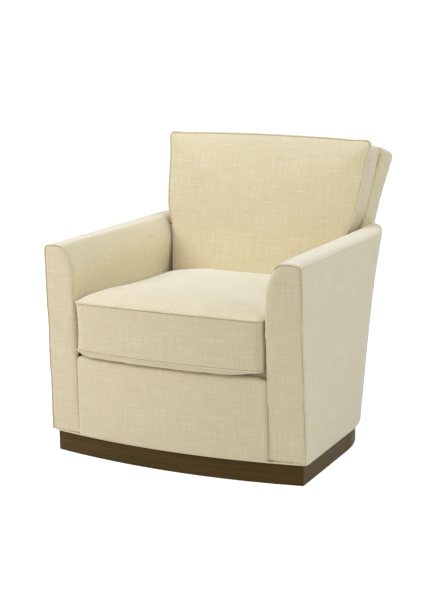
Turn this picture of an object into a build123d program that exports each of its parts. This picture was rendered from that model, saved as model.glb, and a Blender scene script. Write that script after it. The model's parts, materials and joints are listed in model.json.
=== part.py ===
"""Upholstered swivel armchair on a bow-fronted wooden plinth.

Millimetres, +Z up, front of the chair towards -Y, origin on the floor in the middle of the outline.
"""

import os
from math import atan, cos, degrees, radians, sin, sqrt, tan

from build123d import *

# Body plan: bowed front, straight sides, round rear corners
HALF_WIDTH = 395.0
FRONT_Y = -380.0
FRONT_BOW = 41.0
LOW_REAR_Y = 252.0
LOW_REAR_RADIUS = 300.0
MID_Z = 320.0
MID_REAR_Y = 284.0
MID_REAR_RADIUS = 240.0
HIGH_REAR_Y = 374.0
HIGH_REAR_RADIUS = 208.0

# Plinth
GLIDE_HEIGHT = 1.2
GLIDE_RADIUS = 10.0
PLINTH_HEIGHT = 58.8
PLINTH_INSET = 8.0
PLINTH_BOARD = 22.0
PLINTH_BLOCK_LEG = 62.0
PLINTH_BLOCK_HEIGHT = 40.0
SPLICE_LENGTH = 100.0
SPLICE_THICKNESS = 18.0
CROSS_RAIL_WIDTH = 60.0
PLINTH_RAIL_HEIGHT = 26.0

# Swivel
SWIVEL_Y = -78.0
SWIVEL_GAP = 2.2
PLATE_SIZE = 300.0
PLATE_THICKNESS = 3.0
PLATE_CORNER = 25.0
RACE_RADIUS = 100.0
RACE_WIDTH = 24.0
RACE_HEIGHT = 7.5
RACE_GAP = 7.0
BALL_RADIUS = 5.0
BALL_CLEARANCE = 0.3
BALL_COUNT = 24
CAGE_WIDTH = 20.0
CAGE_THICKNESS = 2.0
CAGE_POCKET_CLEARANCE = 0.15
KING_BOLT_RADIUS = 6.0
RUNNING_CLEARANCE = 0.06
KING_HEAD_RADIUS = 11.0
KING_HEAD_HEIGHT = 7.0
KING_NUT_HEIGHT = 9.0
KING_WASHER_RADIUS = 15.0
KING_WASHER_THICKNESS = 2.0
KING_BOLT_TAIL = 3.0
SCREW_RADIUS = 3.0
SCREW_HEAD_RADIUS = 7.0
SCREW_HEAD_HEIGHT = 4.0
SCREW_GRIP = 20.0
SCREW_X = 125.0
SCREW_Y = 115.0
SCREW_CLEARANCE = 0.1

# Wooden frame under the upholstery
FIT_GAP = 0.3
RAIL_THICKNESS = 22.0
RAIL_HEIGHT = 202.0
FRAME_CROSS_HEIGHT = 30.0
FRAME_BLOCK_LEG = 70.0
FRAME_BLOCK_HEIGHT = 60.0
POST_SECTION = 38.0
FRONT_POST_Y = -338.0
REAR_POST_Y = -70.0
ARM_RAIL_WIDTH = 30.0
ARM_RAIL_HEIGHT = 38.0
ARM_RAIL_CORNER_GAP = 9.0
BACK_POST_WIDTH = 38.0
BACK_POST_INSET = 7.6
BACK_POST_DEPTH = 48.0
BACK_RAIL_HEIGHT = 46.0
BACK_LOWER_RAIL_RISE = 115.0

# Upholstery
PANEL_THICKNESS = 8.0
BORDER_THICKNESS = 21.5
BORDER_TOP_GAP = 6.0
BORDER_TOP_ROUND = 12.0
ARM_TOP_Z = 612.0
ARM_PAD_THICKNESS = 28.4
ARM_CORNER_RADIUS = 12.0
ARM_WIDTH_FRONT = 101.0
ARM_WIDTH_REAR = 113.5
ARM_REAR_Y = 340.0
ARM_PAD_LOW_GAP = 14.0
ARM_INSIDE_FOAM = 34.0
INSIDE_ARM_END_Y = 146.0
ARM_CAVITY_SLOPE = 14.0
SHOULDER_WIDTH = 38.0
SHOULDER_DROP = 112.0
SHOULDER_BULGE = 12.0
ARM_FACE_THICKNESS = 14.0
ARM_FACE_YAW = 6.0
ARM_FACE_LEAN = 15.0
WELT_RADIUS = 2.2
BASE_WELT_SIZE = 3.8
DUST_COVER_THICKNESS = 0.8
DUST_COVER_MARGIN = 8.0
DUST_COVER_REVEAL = 8.0

# Springs and deck
WIRE_RADIUS = 1.9
SEAT_SPRING_POST_GAP = 42.0
SEAT_SPRING_COUNT = 5
SEAT_SPRING_ROWS = 18
BACK_SPRING_POST_GAP = 102.0
BACK_SPRING_COUNT = 3
BACK_SPRING_ROWS = 12
SPRING_HALF_WIDTH = 22.0
CLIP_WIDTH = 16.0
CLIP_DEPTH = 12.0
CLIP_HEIGHT = 8.0
DECK_THICKNESS = 35.5
DECK_SIDE_GAP = 4.0

# Inside-back pillow and outside back, on a plane that leans back
BACK_RAKE = degrees(atan(0.345))
PILLOW_TOP_Z = 850.0
PILLOW_LOW_Y = 78.3
PILLOW_LOW_GAP = 45.4
PILLOW_TAPER = 0.15
PILLOW_CAMBER = 9.0
PILLOW_THICKNESS = 90.0
PILLOW_CORNER = 14.0
PILLOW_PULL_IN = 5.0
PILLOW_CROWN = 24.0
PILLOW_CROWN_STEPS = ((0.0, 0.0), (0.42, 0.1), (0.8, 0.28), (1.0, 0.52))
BACK_REVEAL = 10.0
BACK_GAP = 9.0
BACK_SHELL_WALL = 9.0
BACK_SHELL_RIM = 18.0
BACK_BOW = 22.0
TOP_RAIL_END_GAP = 24.0

# Loose seat cushion
CUSHION_FRONT_Y = -409.0
CUSHION_FRONT_GAP = 4.2
CUSHION_REAR_GAP = 12.5
CUSHION_BOW = 22.0
CUSHION_BACK_GAP = 12.3
CUSHION_REAR_LEAN = 26.0
CUSHION_SEAM_HEIGHT = 141.5
CUSHION_CROWN = 34.0
CUSHION_CROWN_STEPS = ((0.0, 0.0), (0.5, 0.1), (0.85, 0.28), (1.0, 0.52))
CUSHION_PULL_IN = 5.0
CUSHION_CORNER = 18.0
CUSHION_SEAT_GAP = 0.5
FOAM_WRAP = 12.0
FOAM_CLEARANCE = 0.4
ZIP_END_GAP = 56.5
ZIP_WIDTH = 12.0
ZIP_THICKNESS = 1.2
SLIDER_LENGTH = 12.0
SLIDER_WIDTH = 8.0
SLIDER_THICKNESS = 1.6

# Heights that follow from the sizes above
plinth_top = GLIDE_HEIGHT + PLINTH_HEIGHT
welt_bottom = plinth_top + SWIVEL_GAP
panel_bottom = welt_bottom + BASE_WELT_SIZE + FIT_GAP
frame_bottom = welt_bottom + BASE_WELT_SIZE
rail_top = frame_bottom + RAIL_HEIGHT
deck_bottom = rail_top + CLIP_HEIGHT + FIT_GAP
deck_top = deck_bottom + DECK_THICKNESS
arm_pad_bottom = ARM_TOP_Z - ARM_PAD_THICKNESS
arm_rail_top = arm_pad_bottom - FIT_GAP
arm_rail_bottom = arm_rail_top - ARM_RAIL_HEIGHT
body_top = ARM_TOP_Z + FIT_GAP
wire_z = rail_top + CLIP_HEIGHT / 2

# Widths that follow from the body and the arms
arm_inner_front = HALF_WIDTH - ARM_WIDTH_FRONT
arm_inner_rear = HALF_WIDTH - ARM_WIDTH_REAR
cushion_front_half = arm_inner_front - CUSHION_FRONT_GAP
cushion_rear_half = arm_inner_front - CUSHION_REAR_GAP
zip_half_length = cushion_rear_half - ZIP_END_GAP
pillow_low_half = arm_inner_front - PILLOW_LOW_GAP
back_post_x = pillow_low_half - BACK_POST_INSET
back_post_inner = back_post_x - BACK_POST_WIDTH / 2
seat_spring_pitch = 2 * (back_post_inner - SEAT_SPRING_POST_GAP) / (SEAT_SPRING_COUNT - 1)
back_spring_pitch = 2 * (back_post_inner - BACK_SPRING_POST_GAP) / (BACK_SPRING_COUNT - 1)

upper_plate_bottom = frame_bottom - PLATE_THICKNESS
upper_race_bottom = upper_plate_bottom - RACE_HEIGHT
ball_z = upper_race_bottom - RACE_GAP / 2
lower_race_bottom = ball_z - RACE_GAP / 2 - RACE_HEIGHT
lower_plate_bottom = lower_race_bottom - PLATE_THICKNESS
plinth_rail_bottom = lower_plate_bottom - PLINTH_RAIL_HEIGHT

rake = radians(BACK_RAKE)
pillow_low_v = -(PILLOW_TOP_Z - deck_top) / cos(rake)
pillow_top_half = pillow_low_half - PILLOW_TAPER * pillow_low_v
pillow_top_y = PILLOW_LOW_Y + (PILLOW_TOP_Z - deck_top) * tan(rake)
back_plane = Plane(
    origin=(0, pillow_top_y, PILLOW_TOP_Z),
    x_dir=(1, 0, 0),
    z_dir=(0, -cos(rake), sin(rake)),
)
back_frame_depth = PILLOW_THICKNESS + BACK_GAP


def d_plan(half_width, front_y, rear_y, radius, mode=Mode.ADD):
    """Closed plan outline with a bowed front, straight sides and round rear corners."""
    with BuildLine() as outline:
        ThreePointArc((-half_width, front_y), (0, front_y - FRONT_BOW), (half_width, front_y))
        Line((half_width, front_y), (half_width, rear_y - radius))
        CenterArc((half_width - radius, rear_y - radius), radius, 0, 90)
        Line((half_width - radius, rear_y), (radius - half_width, rear_y))
        CenterArc((radius - half_width, rear_y - radius), radius, 90, 90)
        Line((-half_width, rear_y - radius), (-half_width, front_y))
    make_face(outline.edges(), mode=mode)


def low_plan(side_inset, front_inset, mode=Mode.ADD):
    """Body plan at its lower edge, drawn in by the given amounts."""
    d_plan(
        HALF_WIDTH - side_inset,
        FRONT_Y + front_inset,
        LOW_REAR_Y - side_inset,
        LOW_REAR_RADIUS - side_inset,
        mode,
    )


def bow_y(x, half_width, front_y):
    """Front edge of a plan outline at a distance x from the middle."""
    radius = (half_width**2 + FRONT_BOW**2) / (2 * FRONT_BOW)
    return front_y - FRONT_BOW + radius - sqrt(radius**2 - x**2)


def rear_y(x, side_inset):
    """Rear edge of the lower body plan at a distance x from the middle."""
    radius = LOW_REAR_RADIUS - side_inset
    flat = HALF_WIDTH - LOW_REAR_RADIUS
    past = max(abs(x) - flat, 0.0)
    return LOW_REAR_Y - LOW_REAR_RADIUS + sqrt(radius**2 - past**2)


def body_loft(inset):
    """Solid block inside the outer upholstery, long enough to be trimmed at the front."""
    front = FRONT_Y - 2 * ARM_FACE_LEAN
    stations = (
        (panel_bottom, LOW_REAR_Y, LOW_REAR_RADIUS),
        (MID_Z, MID_REAR_Y, MID_REAR_RADIUS),
        (body_top, HIGH_REAR_Y, HIGH_REAR_RADIUS),
    )
    sections = []
    for height, rear, radius in stations:
        with BuildSketch(Plane.XY.offset(height)) as section:
            d_plan(HALF_WIDTH - inset, front, rear - inset, radius - inset)
        sections.append(section.sketch.face())
    loft(sections)


def corner_block(half_width, front_y, leg):
    """Triangle that fills the inner front right corner of a bowed frame."""
    front_corner = (half_width, front_y)
    front_end = (half_width - leg, bow_y(half_width - leg, half_width, front_y))
    side_end = (half_width, front_y + leg)
    with BuildLine() as outline:
        Polyline(front_corner, side_end, front_end, close=True)
    make_face(outline.edges())


def sinuous_path(length, rows):
    """Zigzag wire line from 0 to length along Y."""
    pitch = length / rows
    points = []
    for row in range(rows + 1):
        side = SPRING_HALF_WIDTH if row % 2 else -SPRING_HALF_WIDTH
        points.append((side, row * pitch))
        points.append((-side, row * pitch))
    FilletPolyline(*points, radius=0.3 * pitch)


# Plinth: four boards in a ring, mitred at the front corners

plinth_half = HALF_WIDTH - PLINTH_INSET
plinth_front = FRONT_Y + PLINTH_INSET
plinth_joint_y = LOW_REAR_Y - LOW_REAR_RADIUS
plinth_inner = PLINTH_INSET + PLINTH_BOARD
right_mitre = Plane(origin=(plinth_half, plinth_front, 0), x_dir=(-1, 1, 0), z_dir=(1, 1, 0))
left_mitre = Plane(origin=(-plinth_half, plinth_front, 0), x_dir=(1, 1, 0), z_dir=(-1, 1, 0))
plinth_joint = Plane(origin=(0, plinth_joint_y, 0), x_dir=(1, 0, 0), z_dir=(0, 1, 0))

with BuildPart() as plinth_ring:
    with BuildSketch(Plane.XY.offset(GLIDE_HEIGHT)):
        low_plan(PLINTH_INSET, PLINTH_INSET)
        low_plan(plinth_inner, plinth_inner, Mode.SUBTRACT)
    extrude(amount=PLINTH_HEIGHT)

with BuildPart() as plinth_front_board:
    add(plinth_ring.part)
    split(bisect_by=right_mitre, keep=Keep.BOTTOM)
    split(bisect_by=left_mitre, keep=Keep.BOTTOM)

with BuildPart() as plinth_back_board:
    add(plinth_ring.part)
    split(bisect_by=plinth_joint, keep=Keep.TOP)

with BuildPart() as plinth_right_board:
    add(plinth_ring.part)
    split(bisect_by=right_mitre, keep=Keep.TOP)
    split(bisect_by=plinth_joint, keep=Keep.BOTTOM)
    split(bisect_by=Plane.YZ, keep=Keep.TOP)

with BuildPart() as plinth_left_board:
    mirror(plinth_right_board.part, about=Plane.YZ)

# Plinth: glued blocks behind the joints

with BuildPart() as plinth_blocks:
    with BuildSketch(Plane.XY.offset(plinth_top - PLINTH_BLOCK_HEIGHT)):
        corner_block(HALF_WIDTH - plinth_inner, FRONT_Y + plinth_inner, PLINTH_BLOCK_LEG)
    extrude(amount=PLINTH_BLOCK_HEIGHT)
    with BuildSketch(Plane.XY.offset(plinth_top - PLINTH_BLOCK_HEIGHT)):
        low_plan(plinth_inner, plinth_inner)
        low_plan(plinth_inner + SPLICE_THICKNESS, plinth_inner, Mode.SUBTRACT)
        with Locations((HALF_WIDTH - plinth_inner, plinth_joint_y)):
            Rectangle(4 * SPLICE_THICKNESS, SPLICE_LENGTH, mode=Mode.INTERSECT)
    extrude(amount=PLINTH_BLOCK_HEIGHT)
    mirror(about=Plane.YZ)

# Plinth: two rails that carry the swivel, with pilot holes for its screws

with BuildPart() as plinth_cross_rails:
    with BuildSketch(Plane.XY.offset(plinth_rail_bottom)):
        low_plan(plinth_inner, plinth_inner)
        with Locations((0, SWIVEL_Y)):
            Rectangle(2 * HALF_WIDTH, 2 * SCREW_Y - CROSS_RAIL_WIDTH, mode=Mode.SUBTRACT)
            Rectangle(2 * HALF_WIDTH, 2 * SCREW_Y + CROSS_RAIL_WIDTH, mode=Mode.INTERSECT)
    extrude(amount=PLINTH_RAIL_HEIGHT)
    with BuildSketch(Plane.XY.offset(lower_plate_bottom)):
        with Locations((0, SWIVEL_Y)):
            with GridLocations(2 * SCREW_X, 2 * SCREW_Y, 2, 2):
                Circle(SCREW_RADIUS + SCREW_CLEARANCE)
    extrude(amount=-SCREW_GRIP - SCREW_CLEARANCE, mode=Mode.SUBTRACT)

# Plinth: six floor glides under the middle of the boards

glide_inset = PLINTH_INSET + PLINTH_BOARD / 2
glide_front_x = 0.78 * HALF_WIDTH
glide_rear_x = 0.45 * HALF_WIDTH
glide_front = bow_y(glide_front_x, HALF_WIDTH - glide_inset, FRONT_Y + glide_inset)
glide_rear = rear_y(glide_rear_x, glide_inset)

with BuildPart() as floor_glides:
    with BuildSketch(Plane.XY):
        with Locations(
            (glide_front_x, glide_front),
            (HALF_WIDTH - glide_inset, SWIVEL_Y),
            (glide_rear_x, glide_rear),
        ):
            Circle(GLIDE_RADIUS)
    extrude(amount=GLIDE_HEIGHT)
    mirror(about=Plane.YZ)

# Swivel: lower plate with its race, screwed to the plinth rails

axis_point = (0, SWIVEL_Y)

with BuildPart() as swivel_lower_plate:
    with BuildSketch(Plane.XY.offset(lower_plate_bottom)):
        with Locations(axis_point):
            RectangleRounded(PLATE_SIZE, PLATE_SIZE, PLATE_CORNER)
            Circle(KING_BOLT_RADIUS + RUNNING_CLEARANCE, mode=Mode.SUBTRACT)
            with GridLocations(2 * SCREW_X, 2 * SCREW_Y, 2, 2):
                Circle(SCREW_RADIUS + SCREW_CLEARANCE, mode=Mode.SUBTRACT)
    extrude(amount=PLATE_THICKNESS)
    with BuildSketch(Plane.XY.offset(lower_race_bottom)):
        with Locations(axis_point):
            Circle(RACE_RADIUS + RACE_WIDTH / 2)
            Circle(RACE_RADIUS - RACE_WIDTH / 2, mode=Mode.SUBTRACT)
    extrude(amount=RACE_HEIGHT)
    with Locations((0, SWIVEL_Y, ball_z)):
        Torus(RACE_RADIUS, BALL_RADIUS + BALL_CLEARANCE, mode=Mode.SUBTRACT)

with BuildPart() as swivel_lower_screws:
    with BuildSketch(Plane.XY.offset(lower_race_bottom)):
        with Locations(axis_point):
            with GridLocations(2 * SCREW_X, 2 * SCREW_Y, 2, 2):
                Circle(SCREW_HEAD_RADIUS)
    extrude(amount=SCREW_HEAD_HEIGHT)
    with BuildSketch(Plane.XY.offset(lower_race_bottom)):
        with Locations(axis_point):
            with GridLocations(2 * SCREW_X, 2 * SCREW_Y, 2, 2):
                Circle(SCREW_RADIUS)
    extrude(amount=-PLATE_THICKNESS - SCREW_GRIP)

# Swivel: upper plate with its race, screwed to the seat frame

with BuildPart() as swivel_upper_plate:
    with BuildSketch(Plane.XY.offset(upper_plate_bottom)):
        with Locations(axis_point):
            RectangleRounded(PLATE_SIZE, PLATE_SIZE, PLATE_CORNER)
            Circle(KING_BOLT_RADIUS + RUNNING_CLEARANCE, mode=Mode.SUBTRACT)
            with GridLocations(2 * SCREW_X, 2 * SCREW_Y, 2, 2):
                Circle(SCREW_RADIUS + SCREW_CLEARANCE, mode=Mode.SUBTRACT)
    extrude(amount=PLATE_THICKNESS)
    with BuildSketch(Plane.XY.offset(upper_race_bottom)):
        with Locations(axis_point):
            Circle(RACE_RADIUS + RACE_WIDTH / 2)
            Circle(RACE_RADIUS - RACE_WIDTH / 2, mode=Mode.SUBTRACT)
    extrude(amount=RACE_HEIGHT)
    with Locations((0, SWIVEL_Y, ball_z)):
        Torus(RACE_RADIUS, BALL_RADIUS + BALL_CLEARANCE, mode=Mode.SUBTRACT)

with BuildPart() as swivel_upper_screws:
    with BuildSketch(Plane.XY.offset(upper_plate_bottom)):
        with Locations(axis_point):
            with GridLocations(2 * SCREW_X, 2 * SCREW_Y, 2, 2):
                Circle(SCREW_HEAD_RADIUS)
    extrude(amount=-SCREW_HEAD_HEIGHT)
    with BuildSketch(Plane.XY.offset(upper_plate_bottom)):
        with Locations(axis_point):
            with GridLocations(2 * SCREW_X, 2 * SCREW_Y, 2, 2):
                Circle(SCREW_RADIUS)
    extrude(amount=PLATE_THICKNESS + SCREW_GRIP)

# Swivel: balls and the cage that spaces them

with BuildPart() as swivel_balls:
    with Locations((0, SWIVEL_Y, ball_z)):
        with PolarLocations(RACE_RADIUS, BALL_COUNT):
            Sphere(BALL_RADIUS)

with BuildPart() as swivel_ball_cage:
    with BuildSketch(Plane.XY.offset(ball_z - CAGE_THICKNESS / 2)):
        with Locations(axis_point):
            Circle(RACE_RADIUS + CAGE_WIDTH / 2)
            Circle(RACE_RADIUS - CAGE_WIDTH / 2, mode=Mode.SUBTRACT)
            with PolarLocations(RACE_RADIUS, BALL_COUNT):
                Circle(BALL_RADIUS + CAGE_POCKET_CLEARANCE, mode=Mode.SUBTRACT)
    extrude(amount=CAGE_THICKNESS)

# Swivel: king bolt through both plates, with its washer and nut

king_washer_bottom = frame_bottom + FIT_GAP
king_nut_bottom = king_washer_bottom + KING_WASHER_THICKNESS
king_bolt_top = king_nut_bottom + KING_NUT_HEIGHT + KING_BOLT_TAIL

with BuildPart() as swivel_king_bolt:
    with BuildSketch(Plane.XY.offset(lower_plate_bottom)):
        with Locations(axis_point):
            RegularPolygon(KING_HEAD_RADIUS, 6)
    extrude(amount=-KING_HEAD_HEIGHT)
    with BuildSketch(Plane.XY.offset(lower_plate_bottom)):
        with Locations(axis_point):
            Circle(KING_BOLT_RADIUS)
    extrude(amount=king_bolt_top - lower_plate_bottom)

with BuildPart() as swivel_king_nut:
    with BuildSketch(Plane.XY.offset(king_washer_bottom)):
        with Locations(axis_point):
            Circle(KING_WASHER_RADIUS)
            Circle(KING_BOLT_RADIUS + RUNNING_CLEARANCE, mode=Mode.SUBTRACT)
    extrude(amount=KING_WASHER_THICKNESS)
    with BuildSketch(Plane.XY.offset(king_nut_bottom)):
        with Locations(axis_point):
            RegularPolygon(KING_HEAD_RADIUS, 6)
            Circle(KING_BOLT_RADIUS + RUNNING_CLEARANCE, mode=Mode.SUBTRACT)
    extrude(amount=KING_NUT_HEIGHT)

# Seat frame: tall rails in a ring just inside the upholstery

rail_side_inset = PANEL_THICKNESS + FIT_GAP
rail_front_inset = BORDER_THICKNESS + FIT_GAP
rail_inner_side = rail_side_inset + RAIL_THICKNESS
rail_inner_front = rail_front_inset + RAIL_THICKNESS
front_rail_end = Plane(
    origin=(0, FRONT_Y + rail_inner_front, 0), x_dir=(1, 0, 0), z_dir=(0, 1, 0)
)
rear_rail_end = Plane(
    origin=(0, LOW_REAR_Y - LOW_REAR_RADIUS, 0), x_dir=(1, 0, 0), z_dir=(0, 1, 0)
)

with BuildPart() as seat_rail_ring:
    with BuildSketch(Plane.XY.offset(frame_bottom)):
        low_plan(rail_side_inset, rail_front_inset)
        low_plan(rail_inner_side, rail_inner_front, Mode.SUBTRACT)
    extrude(amount=RAIL_HEIGHT)

with BuildPart() as front_seat_rail:
    add(seat_rail_ring.part)
    split(bisect_by=front_rail_end, keep=Keep.BOTTOM)

with BuildPart() as back_seat_rail:
    add(seat_rail_ring.part)
    split(bisect_by=rear_rail_end, keep=Keep.TOP)

with BuildPart() as right_seat_rail:
    add(seat_rail_ring.part)
    split(bisect_by=front_rail_end, keep=Keep.TOP)
    split(bisect_by=rear_rail_end, keep=Keep.BOTTOM)
    split(bisect_by=Plane.YZ, keep=Keep.TOP)

with BuildPart() as left_seat_rail:
    mirror(right_seat_rail.part, about=Plane.YZ)

# Seat frame: cross rails over the swivel and blocks in the front corners

with BuildPart() as seat_cross_rails:
    with BuildSketch(Plane.XY.offset(frame_bottom)):
        low_plan(rail_inner_side, rail_inner_front)
        with Locations((0, SWIVEL_Y)):
            Rectangle(2 * HALF_WIDTH, 2 * SCREW_Y - CROSS_RAIL_WIDTH, mode=Mode.SUBTRACT)
            Rectangle(2 * HALF_WIDTH, 2 * SCREW_Y + CROSS_RAIL_WIDTH, mode=Mode.INTERSECT)
    extrude(amount=FRAME_CROSS_HEIGHT)
    with BuildSketch(Plane.XY.offset(frame_bottom)):
        with Locations(axis_point):
            with GridLocations(2 * SCREW_X, 2 * SCREW_Y, 2, 2):
                Circle(SCREW_RADIUS + SCREW_CLEARANCE)
    extrude(amount=SCREW_GRIP + SCREW_CLEARANCE, mode=Mode.SUBTRACT)

with BuildPart() as seat_corner_blocks:
    with BuildSketch(Plane.XY.offset(rail_top - FRAME_BLOCK_HEIGHT)):
        corner_block(HALF_WIDTH - rail_inner_side, FRONT_Y + rail_inner_front, FRAME_BLOCK_LEG)
    extrude(amount=FRAME_BLOCK_HEIGHT)
    mirror(about=Plane.YZ)

# Arm frame: front and rear posts, and a top rail bent round the rear corner

post_x = HALF_WIDTH - rail_side_inset - POST_SECTION / 2

with BuildPart() as right_arm_posts:
    with BuildSketch(Plane.XY.offset(rail_top)):
        with Locations((post_x, FRONT_POST_Y), (post_x, REAR_POST_Y)):
            Rectangle(POST_SECTION, POST_SECTION)
    extrude(amount=arm_rail_bottom - rail_top)

with BuildPart() as left_arm_posts:
    mirror(right_arm_posts.part, about=Plane.YZ)

# The arm rail follows the body plan at its own height, between the middle and the upper station
arm_rail_share = (arm_rail_bottom - MID_Z) / (body_top - MID_Z)
arm_rail_rear = MID_REAR_Y + (HIGH_REAR_Y - MID_REAR_Y) * arm_rail_share
arm_rail_radius = MID_REAR_RADIUS + (HIGH_REAR_RADIUS - MID_REAR_RADIUS) * arm_rail_share
arm_rail_inset = rail_side_inset + ARM_RAIL_CORNER_GAP
arm_rail_front_y = FRONT_POST_Y - POST_SECTION / 2
back_post_outer = back_post_x + BACK_POST_WIDTH / 2

with BuildPart() as right_arm_rail:
    with BuildSketch(Plane.XY.offset(arm_rail_bottom)):
        d_plan(
            HALF_WIDTH - rail_side_inset,
            FRONT_Y,
            arm_rail_rear - arm_rail_inset,
            arm_rail_radius - arm_rail_inset,
        )
        d_plan(
            HALF_WIDTH - rail_side_inset - ARM_RAIL_WIDTH,
            FRONT_Y,
            arm_rail_rear - arm_rail_inset - ARM_RAIL_WIDTH,
            arm_rail_radius - arm_rail_inset - ARM_RAIL_WIDTH,
            Mode.SUBTRACT,
        )
        with Locations((back_post_outer + FIT_GAP, arm_rail_front_y)):
            Rectangle(HALF_WIDTH, 2 * HALF_WIDTH, align=(Align.MIN, Align.MIN), mode=Mode.INTERSECT)
    extrude(amount=ARM_RAIL_HEIGHT)

with BuildPart() as left_arm_rail:
    mirror(right_arm_rail.part, about=Plane.YZ)

# Back frame: leaning posts, top rail over them and lower rail between them

back_frame_plane = back_plane.offset(-back_frame_depth)
post_top_v = -BACK_SHELL_RIM - FIT_GAP - BACK_RAIL_HEIGHT
post_low_v = -(PILLOW_TOP_Z - rail_top) / cos(rake) - BACK_POST_DEPTH
lower_rail_v = -(PILLOW_TOP_Z - rail_top - BACK_LOWER_RAIL_RISE) / cos(rake)
top_rail_half = pillow_top_half - TOP_RAIL_END_GAP

with BuildPart() as right_back_post:
    with BuildSketch(back_frame_plane):
        with Locations((back_post_x, post_low_v)):
            Rectangle(BACK_POST_WIDTH, post_top_v - post_low_v, align=(Align.CENTER, Align.MIN))
    extrude(amount=-BACK_POST_DEPTH)
    split(bisect_by=Plane.XY.offset(rail_top), keep=Keep.TOP)

with BuildPart() as left_back_post:
    mirror(right_back_post.part, about=Plane.YZ)

with BuildPart() as back_top_rail:
    with BuildSketch(back_frame_plane):
        with Locations((0, post_top_v)):
            Rectangle(2 * top_rail_half, BACK_RAIL_HEIGHT, align=(Align.CENTER, Align.MIN))
    extrude(amount=-BACK_POST_DEPTH)

with BuildPart() as back_lower_rail:
    with BuildSketch(back_frame_plane):
        with Locations((0, lower_rail_v)):
            Rectangle(2 * back_post_x - BACK_POST_WIDTH, BACK_RAIL_HEIGHT)
    extrude(amount=-BACK_POST_DEPTH)

# Seat springs: zigzag wires from the front rail to the rear rail, held in clips

front_mid_inset = rail_front_inset + RAIL_THICKNESS / 2
rear_mid_inset = rail_side_inset + RAIL_THICKNESS / 2
spring_half = HALF_WIDTH - rear_mid_inset

with BuildPart() as seat_springs:
    for index in range(SEAT_SPRING_COUNT):
        spring_x = (index - (SEAT_SPRING_COUNT - 1) / 2) * seat_spring_pitch
        spring_front = bow_y(spring_x, spring_half, FRONT_Y + front_mid_inset)
        spring_rear = rear_y(spring_x, rear_mid_inset)
        with BuildLine(Plane((spring_x, spring_front, wire_z))) as wire:
            sinuous_path(spring_rear - spring_front, SEAT_SPRING_ROWS)
        with BuildSketch(Plane(wire.line @ 0, z_dir=wire.line % 0)):
            Circle(WIRE_RADIUS)
        sweep(path=wire.line)

with BuildPart() as seat_spring_clips:
    for index in range(SEAT_SPRING_COUNT):
        spring_x = (index - (SEAT_SPRING_COUNT - 1) / 2) * seat_spring_pitch
        spring_front = bow_y(spring_x, spring_half, FRONT_Y + front_mid_inset)
        spring_rear = rear_y(spring_x, rear_mid_inset)
        with Locations((spring_x, spring_front, wire_z), (spring_x, spring_rear, wire_z)):
            Box(CLIP_WIDTH, CLIP_DEPTH, CLIP_HEIGHT)
            Cylinder(
                WIRE_RADIUS + FIT_GAP, CLIP_WIDTH, rotation=(0, 90, 0), mode=Mode.SUBTRACT
            )

# Back springs: the same wire between the two back rails

back_wire_plane = back_plane.offset(-back_frame_depth + CLIP_HEIGHT / 2)
back_spring_top_v = post_top_v + BACK_RAIL_HEIGHT / 2
back_spring_length = back_spring_top_v - lower_rail_v

with BuildPart() as back_springs:
    for index in range(BACK_SPRING_COUNT):
        spring_x = (index - (BACK_SPRING_COUNT - 1) / 2) * back_spring_pitch
        spring_origin = back_wire_plane.from_local_coords((spring_x, lower_rail_v, 0))
        spring_plane = Plane(spring_origin, x_dir=back_plane.x_dir, z_dir=back_plane.z_dir)
        with BuildLine(spring_plane) as wire:
            sinuous_path(back_spring_length, BACK_SPRING_ROWS)
        with BuildSketch(Plane(wire.line @ 0, z_dir=wire.line % 0)):
            Circle(WIRE_RADIUS)
        sweep(path=wire.line)

with BuildPart() as back_spring_clips:
    with Locations(back_wire_plane):
        with GridLocations(back_spring_pitch, back_spring_length, BACK_SPRING_COUNT, 2):
            with Locations((0, lower_rail_v + back_spring_length / 2)):
                Box(CLIP_WIDTH, CLIP_DEPTH, CLIP_HEIGHT)
                Cylinder(
                    WIRE_RADIUS + FIT_GAP, CLIP_WIDTH, rotation=(0, 90, 0), mode=Mode.SUBTRACT
                )

# Deck pad on the springs, from the front border to the pillow

arm_taper = (arm_inner_front - arm_inner_rear) / (ARM_REAR_Y - FRONT_Y)
deck_rear_y = PILLOW_LOW_Y - DECK_SIDE_GAP
deck_front_half = arm_inner_front - DECK_SIDE_GAP
deck_rear_half = arm_inner_front - arm_taper * (deck_rear_y - FRONT_Y) - DECK_SIDE_GAP

with BuildPart() as seat_deck:
    with BuildSketch(Plane.XY.offset(deck_bottom)):
        with BuildLine():
            Polyline(
                (-deck_front_half, FRONT_Y - FRONT_BOW),
                (deck_front_half, FRONT_Y - FRONT_BOW),
                (deck_rear_half, deck_rear_y),
                (-deck_rear_half, deck_rear_y),
                close=True,
            )
        make_face()
        low_plan(rail_side_inset, rail_front_inset, Mode.INTERSECT)
    extrude(amount=DECK_THICKNESS)

# Dust cover under the frame, open around the swivel

with BuildPart() as dust_cover:
    with BuildSketch(Plane.XY.offset(frame_bottom - DUST_COVER_THICKNESS)):
        low_plan(DUST_COVER_MARGIN, DUST_COVER_MARGIN)
        with Locations(axis_point):
            Rectangle(
                PLATE_SIZE + DUST_COVER_REVEAL,
                PLATE_SIZE + DUST_COVER_REVEAL,
                mode=Mode.SUBTRACT,
            )
    extrude(amount=DUST_COVER_THICKNESS)

# Welt round the lower edge of the body

with BuildPart() as base_welt:
    with BuildSketch(Plane.XY.offset(welt_bottom)):
        low_plan(0, 0)
        low_plan(BASE_WELT_SIZE, BASE_WELT_SIZE, Mode.SUBTRACT)
    extrude(amount=BASE_WELT_SIZE)

# Front border below the cushion, rounded over at the top

border_half = arm_inner_front - DECK_SIDE_GAP / 2
border_height = deck_top - BORDER_TOP_GAP - panel_bottom

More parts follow.
